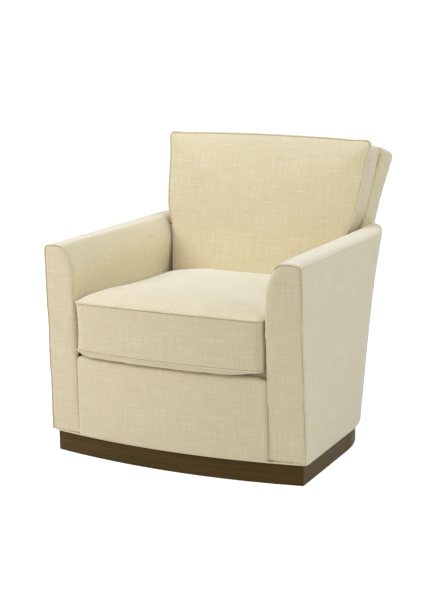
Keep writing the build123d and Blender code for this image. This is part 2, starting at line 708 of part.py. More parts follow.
with BuildPart() as front_border:
    with BuildSketch(Plane.XY.offset(panel_bottom)):
        low_plan(0, 0)
        low_plan(PANEL_THICKNESS, BORDER_THICKNESS, Mode.SUBTRACT)
        with Locations((0, FRONT_Y - FRONT_BOW)):
            Rectangle(2 * border_half, 2 * FRONT_BOW + 2 * BORDER_THICKNESS, mode=Mode.INTERSECT)
    extrude(amount=border_height)
    border_top_edge = front_border.edges().group_by(Axis.Z)[-1].sort_by(Axis.Y)[0]
    fillet(border_top_edge, BORDER_TOP_ROUND)

# Arm fronts: flat padded faces that lean forward and turn slightly outward

yaw = radians(ARM_FACE_YAW)
lean = atan(ARM_FACE_LEAN / (ARM_TOP_Z - panel_bottom))
arm_face_plane = Plane(
    origin=(HALF_WIDTH, FRONT_Y, panel_bottom),
    x_dir=(cos(yaw), sin(yaw), 0),
    z_dir=(sin(yaw) * cos(lean), -cos(yaw) * cos(lean), -sin(lean)),
)
face_height = (ARM_TOP_Z - panel_bottom) / cos(lean)
face_width = (HALF_WIDTH - arm_inner_front) / cos(yaw)

with BuildPart() as right_arm_face:
    with BuildSketch(arm_face_plane):
        with BuildLine():
            Line((0, 0), (0, face_height - ARM_CORNER_RADIUS))
            CenterArc(
                (-ARM_CORNER_RADIUS, face_height - ARM_CORNER_RADIUS), ARM_CORNER_RADIUS, 0, 90
            )
            Line((-ARM_CORNER_RADIUS, face_height), (SHOULDER_WIDTH - face_width, face_height))
            ThreePointArc(
                (SHOULDER_WIDTH - face_width, face_height),
                (SHOULDER_BULGE - face_width, face_height - SHOULDER_WIDTH),
                (-face_width, face_height - SHOULDER_DROP),
            )
            Line((-face_width, face_height - SHOULDER_DROP), (-face_width, 0))
            Line((-face_width, 0), (0, 0))
        make_face()
    extrude(amount=-ARM_FACE_THICKNESS)

with BuildPart() as left_arm_face:
    mirror(right_arm_face.part, about=Plane.YZ)

# Arm front welts along the outer edge and the top of each face

with BuildPart() as right_arm_welt:
    with BuildLine(arm_face_plane) as arm_welt_line:
        Line((0, 0), (0, face_height - ARM_CORNER_RADIUS))
        CenterArc(
            (-ARM_CORNER_RADIUS, face_height - ARM_CORNER_RADIUS), ARM_CORNER_RADIUS, 0, 90
        )
        Line((-ARM_CORNER_RADIUS, face_height), (SHOULDER_WIDTH - face_width, face_height))
    with BuildSketch(Plane(arm_welt_line.line @ 0, z_dir=arm_welt_line.line % 0)):
        Circle(WELT_RADIUS)
    sweep(path=arm_welt_line.line)

with BuildPart() as left_arm_welt:
    mirror(right_arm_welt.part, about=Plane.YZ)

# Inside arms: foam over the arm rail and down to the deck, closing in towards the back

pad_front_plane = arm_face_plane.offset(-ARM_FACE_THICKNESS - FIT_GAP)


def arm_section(inner):
    """Section of one arm pad, standing on the arm rail and hanging down on the inside."""
    low = deck_top - ARM_PAD_LOW_GAP
    cavity = inner + ARM_INSIDE_FOAM
    with BuildLine() as outline:
        Line((HALF_WIDTH, arm_pad_bottom), (HALF_WIDTH, ARM_TOP_Z - ARM_CORNER_RADIUS))
        CenterArc(
            (HALF_WIDTH - ARM_CORNER_RADIUS, ARM_TOP_Z - ARM_CORNER_RADIUS),
            ARM_CORNER_RADIUS,
            0,
            90,
        )
        Line((HALF_WIDTH - ARM_CORNER_RADIUS, ARM_TOP_Z), (inner + SHOULDER_WIDTH, ARM_TOP_Z))
        ThreePointArc(
            (inner + SHOULDER_WIDTH, ARM_TOP_Z),
            (inner + SHOULDER_BULGE, ARM_TOP_Z - SHOULDER_WIDTH),
            (inner, ARM_TOP_Z - SHOULDER_DROP),
        )
        Line((inner, ARM_TOP_Z - SHOULDER_DROP), (inner, low))
        Line((inner, low), (cavity, low))
        Line((cavity, low), (cavity, arm_rail_bottom))
        Line((cavity, arm_rail_bottom), (cavity + ARM_CAVITY_SLOPE, arm_pad_bottom))
        Line((cavity + ARM_CAVITY_SLOPE, arm_pad_bottom), (HALF_WIDTH, arm_pad_bottom))
    make_face(outline.edges())


with BuildPart() as body_block:
    body_loft(0)

# Outside panels: a skin round sides and rear, cut at two rear seams

seam_x = HALF_WIDTH - MID_REAR_RADIUS
right_seam = Plane.YZ.offset(seam_x)
left_seam = Plane.YZ.offset(-seam_x)

with BuildPart() as body_hollow:
    body_loft(PANEL_THICKNESS)

with BuildPart() as outside_skin:
    add(body_block.part)
    add(body_hollow.part, mode=Mode.SUBTRACT)
    split(bisect_by=Plane.XY.offset(arm_rail_top), keep=Keep.BOTTOM)

with BuildPart() as right_outside_arm:
    add(outside_skin.part)
    split(bisect_by=right_seam, keep=Keep.TOP)
    split(bisect_by=pad_front_plane, keep=Keep.BOTTOM)

with BuildPart() as left_outside_arm:
    mirror(right_outside_arm.part, about=Plane.YZ)

with BuildPart() as outside_back_panel:
    add(outside_skin.part)
    split(bisect_by=right_seam, keep=Keep.BOTTOM)
    split(bisect_by=left_seam, keep=Keep.TOP)
    split(bisect_by=Plane.XZ, keep=Keep.BOTTOM)

# Inside-back pillow: boxed, crowned at the front, its boxing pulled in


def pillow_outline(inset, spread=0.0, low_v=pillow_low_v, mode=Mode.ADD):
    """Face of the back pillow: tapered, with a cambered top and round corners."""
    top_half = pillow_top_half + spread - inset
    low_half = pillow_top_half + spread + PILLOW_TAPER * low_v - inset
    with BuildSketch(mode=Mode.PRIVATE) as outline:
        with BuildLine():
            ThreePointArc((-top_half, -inset), (0, PILLOW_CAMBER - inset), (top_half, -inset))
            Line((top_half, -inset), (low_half, low_v + inset))
            Line((low_half, low_v + inset), (-low_half, low_v + inset))
            Line((-low_half, low_v + inset), (-top_half, -inset))
        make_face()
        fillet(outline.vertices(), PILLOW_CORNER)
    add(outline.sketch, mode=mode)


def pillow_body(skin):
    """Back pillow drawn in by a skin on every side."""
    boxing = (
        (PILLOW_THICKNESS - skin, 0.6 * PILLOW_PULL_IN),
        (PILLOW_THICKNESS / 2, PILLOW_PULL_IN),
        (skin, 0.0),
    )
    sections = []
    for depth, inset in boxing:
        with BuildSketch(back_plane.offset(-depth)) as section:
            pillow_outline(inset + skin)
        sections.append(section.sketch.face())
    loft(sections)
    sections = []
    for share, inset in PILLOW_CROWN_STEPS:
        with BuildSketch(back_plane.offset(share * PILLOW_CROWN - skin)) as section:
            pillow_outline(inset * pillow_low_half + skin)
        sections.append(section.sketch.face())
    loft(sections)


with BuildPart() as back_pillow_hollow:
    pillow_body(FOAM_WRAP)

with BuildPart() as back_pillow_cover:
    pillow_body(0.0)
    add(back_pillow_hollow.part, mode=Mode.SUBTRACT)

with BuildPart() as back_pillow_foam:
    pillow_body(FOAM_WRAP + FOAM_CLEARANCE)

with BuildPart() as back_pillow_welt:
    with BuildSketch(back_plane.offset(-WELT_RADIUS)):
        pillow_outline(-WELT_RADIUS)
        pillow_outline(WELT_RADIUS, mode=Mode.SUBTRACT)
    extrude(amount=2 * WELT_RADIUS)

# Outside back above the arms: a padded tray round the back frame

shell_front = PILLOW_THICKNESS + FIT_GAP
shell_plane = back_plane.offset(-shell_front)
shell_depth = back_frame_depth + BACK_POST_DEPTH + FIT_GAP + BACK_SHELL_WALL - shell_front
shell_low_v = -(PILLOW_TOP_Z - arm_pad_bottom) / cos(rake) - shell_depth
shell_half = pillow_top_half + BACK_REVEAL
shell_reach = 2 * (PILLOW_TOP_Z - arm_pad_bottom)
shell_section_plane = Plane(
    origin=back_plane.from_local_coords((0, shell_reach / 2, -shell_front)),
    x_dir=(1, 0, 0),
    z_dir=(0, -sin(rake), -cos(rake)),
)


def shell_section(wall):
    """Section of the outside back seen along its lean: flat front, bowed rear."""
    depth = shell_depth - wall
    with BuildLine() as outline:
        Line((-shell_half, 0), (shell_half, 0))
        Line((shell_half, 0), (shell_half, -depth))
        ThreePointArc((shell_half, -depth), (0, -depth - BACK_BOW), (-shell_half, -depth))
        Line((-shell_half, -depth), (-shell_half, 0))
    make_face(outline.edges())


with BuildPart() as shell_hollow:
    with BuildSketch(shell_plane):
        pillow_outline(BACK_SHELL_RIM, BACK_REVEAL, shell_low_v - 2 * BACK_SHELL_RIM)
    extrude(amount=-shell_depth - BACK_BOW)
    with BuildSketch(shell_section_plane):
        shell_section(BACK_SHELL_WALL)
    extrude(amount=shell_reach, mode=Mode.INTERSECT)

with BuildPart() as outside_back_cover:
    with BuildSketch(shell_plane):
        pillow_outline(0.0, BACK_REVEAL, shell_low_v - PILLOW_CORNER)
    extrude(amount=-shell_depth - BACK_BOW)
    with BuildSketch(shell_section_plane):
        shell_section(0.0)
    extrude(amount=shell_reach, mode=Mode.INTERSECT)
    add(shell_hollow.part, mode=Mode.SUBTRACT)
    split(bisect_by=Plane.XY.offset(arm_pad_bottom), keep=Keep.TOP)

# Arm pads, cut to the outside back where they run round the rear corners

with BuildPart() as shell_clearance:
    with BuildSketch(shell_plane.offset(FIT_GAP)):
        pillow_outline(-FIT_GAP, BACK_REVEAL, shell_low_v - PILLOW_CORNER)
    extrude(amount=-shell_depth - 2 * BACK_BOW)

with BuildPart() as right_arm_pad:
    with BuildSketch(Plane.XZ.offset(-FRONT_Y + 2 * ARM_FACE_LEAN)):
        arm_section(arm_inner_front + 2 * ARM_FACE_LEAN * arm_taper)
    with BuildSketch(Plane.XZ.offset(-ARM_REAR_Y)):
        arm_section(arm_inner_rear)
    loft()
    split(bisect_by=pad_front_plane, keep=Keep.BOTTOM)
    with BuildSketch(Plane.XY.offset(arm_pad_bottom)):
        with Locations((0, INSIDE_ARM_END_Y)):
            Rectangle(2 * HALF_WIDTH, 2 * HALF_WIDTH, align=(Align.CENTER, Align.MIN))
    extrude(amount=-ARM_TOP_Z, mode=Mode.SUBTRACT)
    add(body_block.part, mode=Mode.INTERSECT)
    add(shell_clearance.part, mode=Mode.SUBTRACT)

with BuildPart() as left_arm_pad:
    mirror(right_arm_pad.part, about=Plane.YZ)

# Loose seat cushion: boxed, crowned on top, its boxing pulled in


def cushion_outline(inset, rear, mode=Mode.ADD):
    """Plan of the seat cushion: bowed front, sides closing in towards the back."""
    front_half = cushion_front_half - inset
    rear_half = cushion_rear_half - inset
    front = CUSHION_FRONT_Y + inset
    with BuildSketch(mode=Mode.PRIVATE) as outline:
        with BuildLine():
            ThreePointArc((-front_half, front), (0, front - CUSHION_BOW), (front_half, front))
            Line((front_half, front), (rear_half, rear - inset))
            Line((rear_half, rear - inset), (-rear_half, rear - inset))
            Line((-rear_half, rear - inset), (-front_half, front))
        make_face()
        fillet(outline.vertices(), CUSHION_CORNER)
    add(outline.sketch, mode=mode)


cushion_bottom = deck_top + CUSHION_SEAT_GAP
cushion_seam = cushion_bottom + CUSHION_SEAM_HEIGHT
cushion_rear_low = PILLOW_LOW_Y - CUSHION_BACK_GAP
cushion_rear_high = cushion_rear_low + CUSHION_REAR_LEAN
cushion_rear_mid = (cushion_rear_low + cushion_rear_high) / 2


def cushion_body(skin):
    """Seat cushion drawn in by a skin on every side."""
    boxing = (
        (cushion_bottom + skin, 0.0, cushion_rear_low),
        (cushion_bottom + CUSHION_SEAM_HEIGHT / 2, CUSHION_PULL_IN, cushion_rear_mid),
        (cushion_seam - skin, 0.0, cushion_rear_high),
    )
    sections = []
    for height, inset, rear in boxing:
        with BuildSketch(Plane.XY.offset(height)) as section:
            cushion_outline(inset + skin, rear)
        sections.append(section.sketch.face())
    loft(sections)
    sections = []
    for share, inset in CUSHION_CROWN_STEPS:
        height = cushion_seam - skin + share * CUSHION_CROWN
        with BuildSketch(Plane.XY.offset(height)) as section:
            cushion_outline(inset * cushion_front_half + skin, cushion_rear_high)
        sections.append(section.sketch.face())
    loft(sections)


with BuildPart() as seat_cushion_hollow:
    cushion_body(FOAM_WRAP)

with BuildPart() as seat_cushion_cover:
    cushion_body(0.0)
    add(seat_cushion_hollow.part, mode=Mode.SUBTRACT)

with BuildPart() as seat_cushion_foam:
    cushion_body(FOAM_WRAP + FOAM_CLEARANCE)

with BuildPart() as seat_cushion_welts:
    for height, rear in (
        (cushion_bottom, cushion_rear_low),
        (cushion_seam - WELT_RADIUS, cushion_rear_high),
    ):
        with BuildSketch(Plane.XY.offset(height)):
            cushion_outline(-WELT_RADIUS, rear)
            cushion_outline(WELT_RADIUS, rear, Mode.SUBTRACT)
        extrude(amount=2 * WELT_RADIUS)

# Zip along the rear boxing of the cushion, with its slider at one end

zip_tilt = atan((cushion_rear_high - cushion_rear_low) / CUSHION_SEAM_HEIGHT)
zip_plane = Plane(
    origin=(0, cushion_rear_mid - CUSHION_PULL_IN, cushion_bottom + CUSHION_SEAM_HEIGHT / 2),
    x_dir=(-1, 0, 0),
    z_dir=(0, cos(zip_tilt), -sin(zip_tilt)),
)

with BuildPart() as cushion_zip:
    with BuildSketch(zip_plane.offset(FIT_GAP)):
        Rectangle(2 * zip_half_length, ZIP_WIDTH)
    extrude(amount=ZIP_THICKNESS)

with BuildPart() as cushion_zip_slider:
    with BuildSketch(zip_plane.offset(2 * FIT_GAP + ZIP_THICKNESS)):
        with Locations((zip_half_length - SLIDER_LENGTH, 0)):
            Rectangle(SLIDER_LENGTH, SLIDER_WIDTH)
    extrude(amount=SLIDER_THICKNESS)

# Labels and files

pieces = {
    "plinth_front_board": plinth_front_board,
    "plinth_left_board": plinth_left_board,
    "plinth_right_board": plinth_right_board,
    "plinth_back_board": plinth_back_board,
    "plinth_blocks": plinth_blocks,
    "plinth_cross_rails": plinth_cross_rails,
    "floor_glides": floor_glides,
    "swivel_lower_plate": swivel_lower_plate,
    "swivel_lower_screws": swivel_lower_screws,
    "swivel_king_bolt": swivel_king_bolt,
    "swivel_king_nut": swivel_king_nut,
    "swivel_ball_cage": swivel_ball_cage,
    "swivel_balls": swivel_balls,
    "swivel_upper_plate": swivel_upper_plate,
    "swivel_upper_screws": swivel_upper_screws,
    "seat_cross_rails": seat_cross_rails,
    "front_seat_rail": front_seat_rail,
    "left_seat_rail": left_seat_rail,
    "right_seat_rail": right_seat_rail,
    "back_seat_rail": back_seat_rail,
    "seat_corner_blocks": seat_corner_blocks,
    "left_arm_posts": left_arm_posts,
    "right_arm_posts": right_arm_posts,
    "left_arm_rail": left_arm_rail,
    "right_arm_rail": right_arm_rail,
    "left_back_post": left_back_post,
    "right_back_post": right_back_post,
    "back_top_rail": back_top_rail,
    "back_lower_rail": back_lower_rail,
    "seat_springs": seat_springs,
    "seat_spring_clips": seat_spring_clips,
    "back_springs": back_springs,
    "back_spring_clips": back_spring_clips,
    "seat_deck": seat_deck,
    "dust_cover": dust_cover,
    "base_welt": base_welt,
    "front_border": front_border,
    "left_arm_face": left_arm_face,
    "right_arm_face": right_arm_face,
    "left_arm_welt": left_arm_welt,
    "right_arm_welt": right_arm_welt,
    "left_arm_pad": left_arm_pad,
    "right_arm_pad": right_arm_pad,
    "left_outside_arm": left_outside_arm,
    "right_outside_arm": right_outside_arm,
    "outside_back_panel": outside_back_panel,
    "outside_back_cover": outside_back_cover,
    "back_pillow_cover": back_pillow_cover,
    "back_pillow_foam": back_pillow_foam,
    "back_pillow_welt": back_pillow_welt,
    "seat_cushion_cover": seat_cushion_cover,
    "seat_cushion_foam": seat_cushion_foam,
    "seat_cushion_welts": seat_cushion_welts,
    "cushion_zip": cushion_zip,
    "cushion_zip_slider": cushion_zip_slider,
}

os.makedirs("parts", exist_ok=True)
for name, piece in pieces.items():
    piece.part.label = name
    export_step(piece.part, f"parts/{name}.step")
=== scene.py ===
import json
import math

import bpy
from mathutils import Matrix, Vector
from mathutils.kdtree import KDTree

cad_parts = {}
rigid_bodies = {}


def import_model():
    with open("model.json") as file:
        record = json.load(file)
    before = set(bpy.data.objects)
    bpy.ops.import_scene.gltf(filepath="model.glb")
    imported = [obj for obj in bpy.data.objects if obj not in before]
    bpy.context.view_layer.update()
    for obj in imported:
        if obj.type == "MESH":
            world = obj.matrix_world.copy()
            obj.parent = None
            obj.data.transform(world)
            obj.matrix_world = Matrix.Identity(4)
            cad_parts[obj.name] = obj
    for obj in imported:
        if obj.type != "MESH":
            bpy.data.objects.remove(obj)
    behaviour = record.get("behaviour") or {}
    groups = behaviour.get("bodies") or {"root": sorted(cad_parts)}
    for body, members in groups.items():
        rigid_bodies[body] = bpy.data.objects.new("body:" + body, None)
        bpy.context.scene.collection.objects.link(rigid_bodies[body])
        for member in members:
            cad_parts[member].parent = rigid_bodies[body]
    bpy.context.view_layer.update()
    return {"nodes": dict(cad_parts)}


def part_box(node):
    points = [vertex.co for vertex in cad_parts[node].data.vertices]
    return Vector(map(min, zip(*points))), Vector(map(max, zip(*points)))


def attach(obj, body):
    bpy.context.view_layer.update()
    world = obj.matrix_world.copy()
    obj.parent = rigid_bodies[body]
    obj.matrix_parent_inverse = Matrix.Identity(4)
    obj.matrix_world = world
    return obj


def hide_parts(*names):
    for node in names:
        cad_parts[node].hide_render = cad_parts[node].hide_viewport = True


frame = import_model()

# Plinth: four hardwood boards, the front one sawn to a bow and the rear one bent round.
# They are mitred at the front corners and spliced over blocks at the rear.
# The wood is stained dark brown and finished with satin lacquer.


def wood_finish(name, dark, light, grain, gloss):
    """Wood with long grain in one direction, fine pores and a thin lacquer."""
    wood = bpy.data.materials.new(name)
    wood.use_nodes = True
    tree = wood.node_tree
    lacquer = tree.nodes["Principled BSDF"]
    place = tree.nodes.new("ShaderNodeTexCoord")
    stretch = tree.nodes.new("ShaderNodeMapping")
    stretch.inputs["Scale"].default_value = grain
    tree.links.new(place.outputs["Object"], stretch.inputs["Vector"])
    figure = tree.nodes.new("ShaderNodeTexNoise")
    figure.inputs["Scale"].default_value = 1.0
    figure.inputs["Detail"].default_value = 6.0
    figure.inputs["Roughness"].default_value = 0.62
    figure.inputs["Distortion"].default_value = 0.5
    tree.links.new(stretch.outputs["Vector"], figure.inputs["Vector"])
    tone = tree.nodes.new("ShaderNodeValToRGB")
    tone.color_ramp.elements[0].position = 0.30
    tone.color_ramp.elements[0].color = (*dark, 1.0)
    tone.color_ramp.elements[1].position = 0.74
    tone.color_ramp.elements[1].color = (*light, 1.0)
    tree.links.new(figure.outputs["Fac"], tone.inputs["Fac"])
    tree.links.new(tone.outputs["Color"], lacquer.inputs["Base Color"])
    pores = tree.nodes.new("ShaderNodeTexNoise")
    pores.inputs["Scale"].default_value = 9.0
    pores.inputs["Detail"].default_value = 3.0
    tree.links.new(stretch.outputs["Vector"], pores.inputs["Vector"])
    sheen = tree.nodes.new("ShaderNodeMapRange")
    sheen.inputs["From Min"].default_value = 0.3
    sheen.inputs["From Max"].default_value = 0.7
    sheen.inputs["To Min"].default_value = gloss
    sheen.inputs["To Max"].default_value = gloss + 0.14
    tree.links.new(pores.outputs["Fac"], sheen.inputs["Value"])
    tree.links.new(sheen.outputs["Result"], lacquer.inputs["Roughness"])
    relief = tree.nodes.new("ShaderNodeBump")
    relief.inputs["Strength"].default_value = 0.18
    relief.inputs["Distance"].default_value = 0.0004
    tree.links.new(pores.outputs["Fac"], relief.inputs["Height"])
    tree.links.new(relief.outputs["Normal"], lacquer.inputs["Normal"])
    return wood


def coat(piece, finish):
    """Gives the piece this finish alone."""
    piece.data.materials.clear()
    piece.data.materials.append(finish)


LACQUER_SPECULAR = 0.14
EASED_EDGE = 0.0014
MERGE_DISTANCE = 0.00002
plinth_wood = wood_finish(
    "dark_stained_wood", dark=(0.056, 0.0325, 0.0050), light=(0.095, 0.0570, 0.0100),
    grain=(5.0, 5.0, 105.0), gloss=0.48,
)
plinth_lacquer = plinth_wood.node_tree.nodes["Principled BSDF"]
plinth_lacquer.inputs["Specular IOR Level"].default_value = LACQUER_SPECULAR
for board in ("front", "left", "right", "back"):
    plinth_board = frame["nodes"][f"plinth_{board}_board"]
    coat(plinth_board, plinth_wood)
    welded = plinth_board.modifiers.new("welded", "WELD")
    welded.merge_threshold = MERGE_DISTANCE
    eased = plinth_board.modifiers.new("eased_edges", "BEVEL")
    eased.width = EASED_EDGE
    eased.segments = 3
    eased.limit_method = "ANGLE"
    eased.angle_limit = math.radians(40)

# Floor glides: six nylon buttons nailed under the plinth.
# They are moulded in dark brown with a slightly matt skin.


def grained_finish(name, pattern, level, scale, dark, light, roughness, relief, depth):
    """Skin with one fine pattern, which gives both its tone and its relief."""
    finish = bpy.data.materials.new(name)
    finish.use_nodes = True
    tree = finish.node_tree
    skin = tree.nodes["Principled BSDF"]
    skin.inputs["Roughness"].default_value = roughness
    place = tree.nodes.new("ShaderNodeTexCoord")
    grain = tree.nodes.new(pattern)
    grain.inputs["Scale"].default_value = scale
    tree.links.new(place.outputs["Object"], grain.inputs["Vector"])
    tone = tree.nodes.new("ShaderNodeValToRGB")
    tone.color_ramp.elements[0].color = (*dark, 1.0)
    tone.color_ramp.elements[1].color = (*light, 1.0)
    tree.links.new(grain.outputs[level], tone.inputs["Fac"])
    tree.links.new(tone.outputs["Color"], skin.inputs["Base Color"])
    bump = tree.nodes.new("ShaderNodeBump")
    bump.inputs["Strength"].default_value = relief
    bump.inputs["Distance"].default_value = depth
    tree.links.new(grain.outputs[level], bump.inputs["Height"])
    tree.links.new(bump.outputs["Normal"], skin.inputs["Normal"])
    return finish


glide_nylon = grained_finish(
    "brown_nylon", "ShaderNodeTexNoise", "Fac", scale=900.0,
    dark=(0.018, 0.013, 0.009), light=(0.034, 0.025, 0.017),
    roughness=0.5, relief=0.2, depth=0.0003,
)
coat(frame["nodes"]["floor_glides"], glide_nylon)

# Swivel: two pressed plates with races, a ball cage with its balls, and a king bolt with nut.
# The plates and screws are zinc plated, the balls are hardened and polished.


def steel_finish(name, tint, smooth, rough, streak):
    """Steel whose gloss varies in fine streaks left by rolling or drawing."""
    steel = bpy.data.materials.new(name)
    steel.use_nodes = True
    tree = steel.node_tree
    skin = tree.nodes["Principled BSDF"]
    skin.inputs["Metallic"].default_value = 1.0
    place = tree.nodes.new("ShaderNodeTexCoord")
    stretch = tree.nodes.new("ShaderNodeMapping")
    stretch.inputs["Scale"].default_value = streak
    tree.links.new(place.outputs["Object"], stretch.inputs["Vector"])
    marks = tree.nodes.new("ShaderNodeTexNoise")
    marks.inputs["Scale"].default_value = 1.0
    marks.inputs["Detail"].default_value = 5.0
    tree.links.new(stretch.outputs["Vector"], marks.inputs["Vector"])
    tone = tree.nodes.new("ShaderNodeValToRGB")
    tone.color_ramp.elements[0].position = 0.25
    tone.color_ramp.elements[0].color = (*[0.72 * part for part in tint], 1.0)
    tone.color_ramp.elements[1].position = 0.75
    tone.color_ramp.elements[1].color = (*tint, 1.0)
    tree.links.new(marks.outputs["Fac"], tone.inputs["Fac"])
    tree.links.new(tone.outputs["Color"], skin.inputs["Base Color"])
    gloss = tree.nodes.new("ShaderNodeMapRange")
    gloss.inputs["To Min"].default_value = smooth
    gloss.inputs["To Max"].default_value = rough
    tree.links.new(marks.outputs["Fac"], gloss.inputs["Value"])
    tree.links.new(gloss.outputs["Result"], skin.inputs["Roughness"])
    return steel


zinc_plate = steel_finish(
    "zinc_plated_steel", tint=(0.62, 0.62, 0.60), smooth=0.28, rough=0.52,
    streak=(40.0, 220.0, 220.0),
)
ball_polish = steel_finish(
    "polished_ball_steel", tint=(0.72, 0.72, 0.73), smooth=0.06, rough=0.16,
    streak=(90.0, 90.0, 90.0),
)
screw_zinc = steel_finish(
    "yellow_zinc_screws", tint=(0.66, 0.58, 0.38), smooth=0.25, rough=0.45,
    streak=(300.0, 300.0, 120.0),
)
for plated in ("lower_plate", "upper_plate", "ball_cage", "king_bolt", "king_nut"):
    coat(frame["nodes"][f"swivel_{plated}"], zinc_plate)
for screws in ("lower_screws", "upper_screws"):
    coat(frame["nodes"][f"swivel_{screws}"], screw_zinc)
coat(frame["nodes"]["swivel_balls"], ball_polish)

# Inner frame: rails, posts and blocks of kiln-dried birch, glued and screwed, left bare.
# The grain runs along each member, so every direction has its own cut of the wood.
BIRCH_DARK, BIRCH_LIGHT = (0.42, 0.28, 0.15), (0.66, 0.50, 0.31)
ALONG_GRAIN, ACROSS_GRAIN = 7.0, 120.0
birch = []
for axis, run in enumerate(("across", "deep", "upright")):
    birch_grain = [ACROSS_GRAIN] * 3
    birch_grain[axis] = ALONG_GRAIN
    birch.append(wood_finish(f"bare_birch_{run}", BIRCH_DARK, BIRCH_LIGHT, birch_grain, gloss=0.55))
birch_pieces = (
    "plinth_blocks", "plinth_cross_rails", "seat_cross_rails", "front_seat_rail", "left_seat_rail",
    "right_seat_rail", "back_seat_rail", "seat_corner_blocks", "left_arm_posts", "right_arm_posts",
    "left_arm_rail", "right_arm_rail", "left_back_post", "right_back_post", "back_top_rail",
    "back_lower_rail",
)
for birch_name in birch_pieces:
    birch_low, birch_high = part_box(birch_name)
    birch_sides = [birch_high[axis] - birch_low[axis] for axis in range(3)]
    birch_axis = 2 if birch_name.endswith("posts") else birch_sides.index(max(birch_sides))
    coat(frame["nodes"][birch_name], birch[birch_axis])

# Springs: zigzag wires from rail to rail under the seat and behind the back pillow.
# The wire is tempered and left dark, and its ends sit in zinc-plated clips.
spring_wire = steel_finish(
    "tempered_spring_wire", tint=(0.30, 0.30, 0.31), smooth=0.32, rough=0.55,
    streak=(60.0, 400.0, 400.0),
)
for sprung in ("seat", "back"):
    coat(frame["nodes"][f"{sprung}_springs"], spring_wire)
    coat(frame["nodes"][f"{sprung}_spring_clips"], zinc_plate)

# Dust cover: black non-woven cloth, stapled flat under the seat frame round the swivel.
# It is one flat sheet, so only its own face and its thin edge show.


def pick(piece):
    """Makes the piece the only selected one, and the active one."""
    bpy.ops.object.select_all(action="DESELECT")
    piece.select_set(True)
    bpy.context.view_layer.objects.active = piece


def new_piece(name, shape):
    """A new object at the origin, picked for the operators that follow."""
    piece = bpy.data.objects.new(name, shape)
    bpy.context.scene.collection.objects.link(piece)
    pick(piece)
    return piece


def merge_triangles():
    """Sews the loose triangles of the active copy of a CAD mesh into one skin."""
    bpy.ops.object.mode_set(mode="EDIT")
    bpy.ops.mesh.select_all(action="SELECT")
    bpy.ops.mesh.remove_doubles(threshold=MERGE_DISTANCE)
    bpy.ops.object.mode_set(mode="OBJECT")


dust_black = grained_finish(
    "black_dust_cloth", "ShaderNodeTexVoronoi", "Distance", scale=450.0,
    dark=(0.008, 0.008, 0.009), light=(0.024, 0.024, 0.026),
    roughness=0.92, relief=0.4, depth=0.0004,
)
dust_cloth = new_piece("dust_cloth", frame["nodes"]["dust_cover"].data.copy())
coat(dust_cloth, dust_black)
merge_triangles()
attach(dust_cloth, "chair")
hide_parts("dust_cover")

# Deck: a pad of felted cotton over the seat springs, covered in plain platform cloth.
# It is tacked to the rails along its edges, so those stay low and its middle stands full.


def settle(cover, modifier):
    """Makes what the modifier does part of the cover's own mesh."""
    bpy.context.view_layer.objects.active = cover
    bpy.ops.object.modifier_apply(modifier=modifier.name)


def cover_blank(name, nodes, square):
    """One closed mesh of even squares, cut to the solids that the cover wraps."""
    bpy.ops.object.select_all(action="DESELECT")
    for node in nodes:
        blank = bpy.data.objects.new(name, frame["nodes"][node].data.copy())
        bpy.context.scene.collection.objects.link(blank)
        blank.select_set(True)
        bpy.context.view_layer.objects.active = blank
    if len(nodes) > 1:
        bpy.ops.object.join()
    blank = bpy.context.view_layer.objects.active
    blank.name = name
    blank.data.materials.clear()
    merge_triangles()
    squares = blank.modifiers.new("squares", "REMESH")
    squares.mode = "VOXEL"
    squares.voxel_size = square
    settle(blank, squares)
    bpy.ops.object.mode_set(mode="EDIT")
    bpy.ops.mesh.select_mode(type="VERT")
    bpy.ops.mesh.select_all(action="DESELECT")
    bpy.ops.object.mode_set(mode="OBJECT")
    heights = [vertex.co.z for vertex in blank.data.vertices]
    blank.data.vertices[heights.index(max(heights))].select = True
    bpy.ops.object.mode_set(mode="EDIT")
    bpy.ops.mesh.select_linked()
    bpy.ops.mesh.select_all(action="INVERT")
    bpy.ops.mesh.delete(type="VERT")
    bpy.ops.object.mode_set(mode="OBJECT")
    return blank


def soften(cover, rounds, tacked):
    """Rounds the edges as padding does, less where the cloth is tacked down."""
    free = cover.vertex_groups.new(name="free")
    for vertex in cover.data.vertices:
        free.add([vertex.index], 1.0 - tacked(vertex.co), "REPLACE")
    padding = cover.modifiers.new("padding", "SMOOTH")
    padding.factor = 0.5
    padding.iterations = rounds
    padding.vertex_group = free.name
    settle(cover, padding)
    cover.vertex_groups.clear()


def part_way(value, start, end):
    """How far the value has come from start to end, from 0 to 1."""
    return min(max((value - start) / (end - start), 0.0), 1.0)


def ramp(value, start, end):
    """0 before start, 1 past end, with a soft turn between."""
    share = part_way(value, start, end)
    return share * share * (3.0 - 2.0 * share)


WEAVE_SQUARE = 2.0


def unfold(piece):
    """Spreads the weave over every side of the piece and shades it smooth."""
    pick(piece)
    bpy.ops.object.mode_set(mode="EDIT")
    bpy.ops.mesh.select_all(action="SELECT")
    bpy.ops.uv.cube_project(cube_size=WEAVE_SQUARE)
    bpy.ops.object.mode_set(mode="OBJECT")
    bpy.ops.object.shade_smooth()


def dress(cover, cloth, nodes, body="chair"):
    """Lays the cloth on the cover and fixes it to the chair."""
    unfold(cover)
    cover.data.materials.append(cloth)
    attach(cover, body)
    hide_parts(*nodes)


FINE_ACROSS, FINE_ALONG = 2.4, 8.0
WEFT_SHIFT = (3.7, 5.1, 0.0)


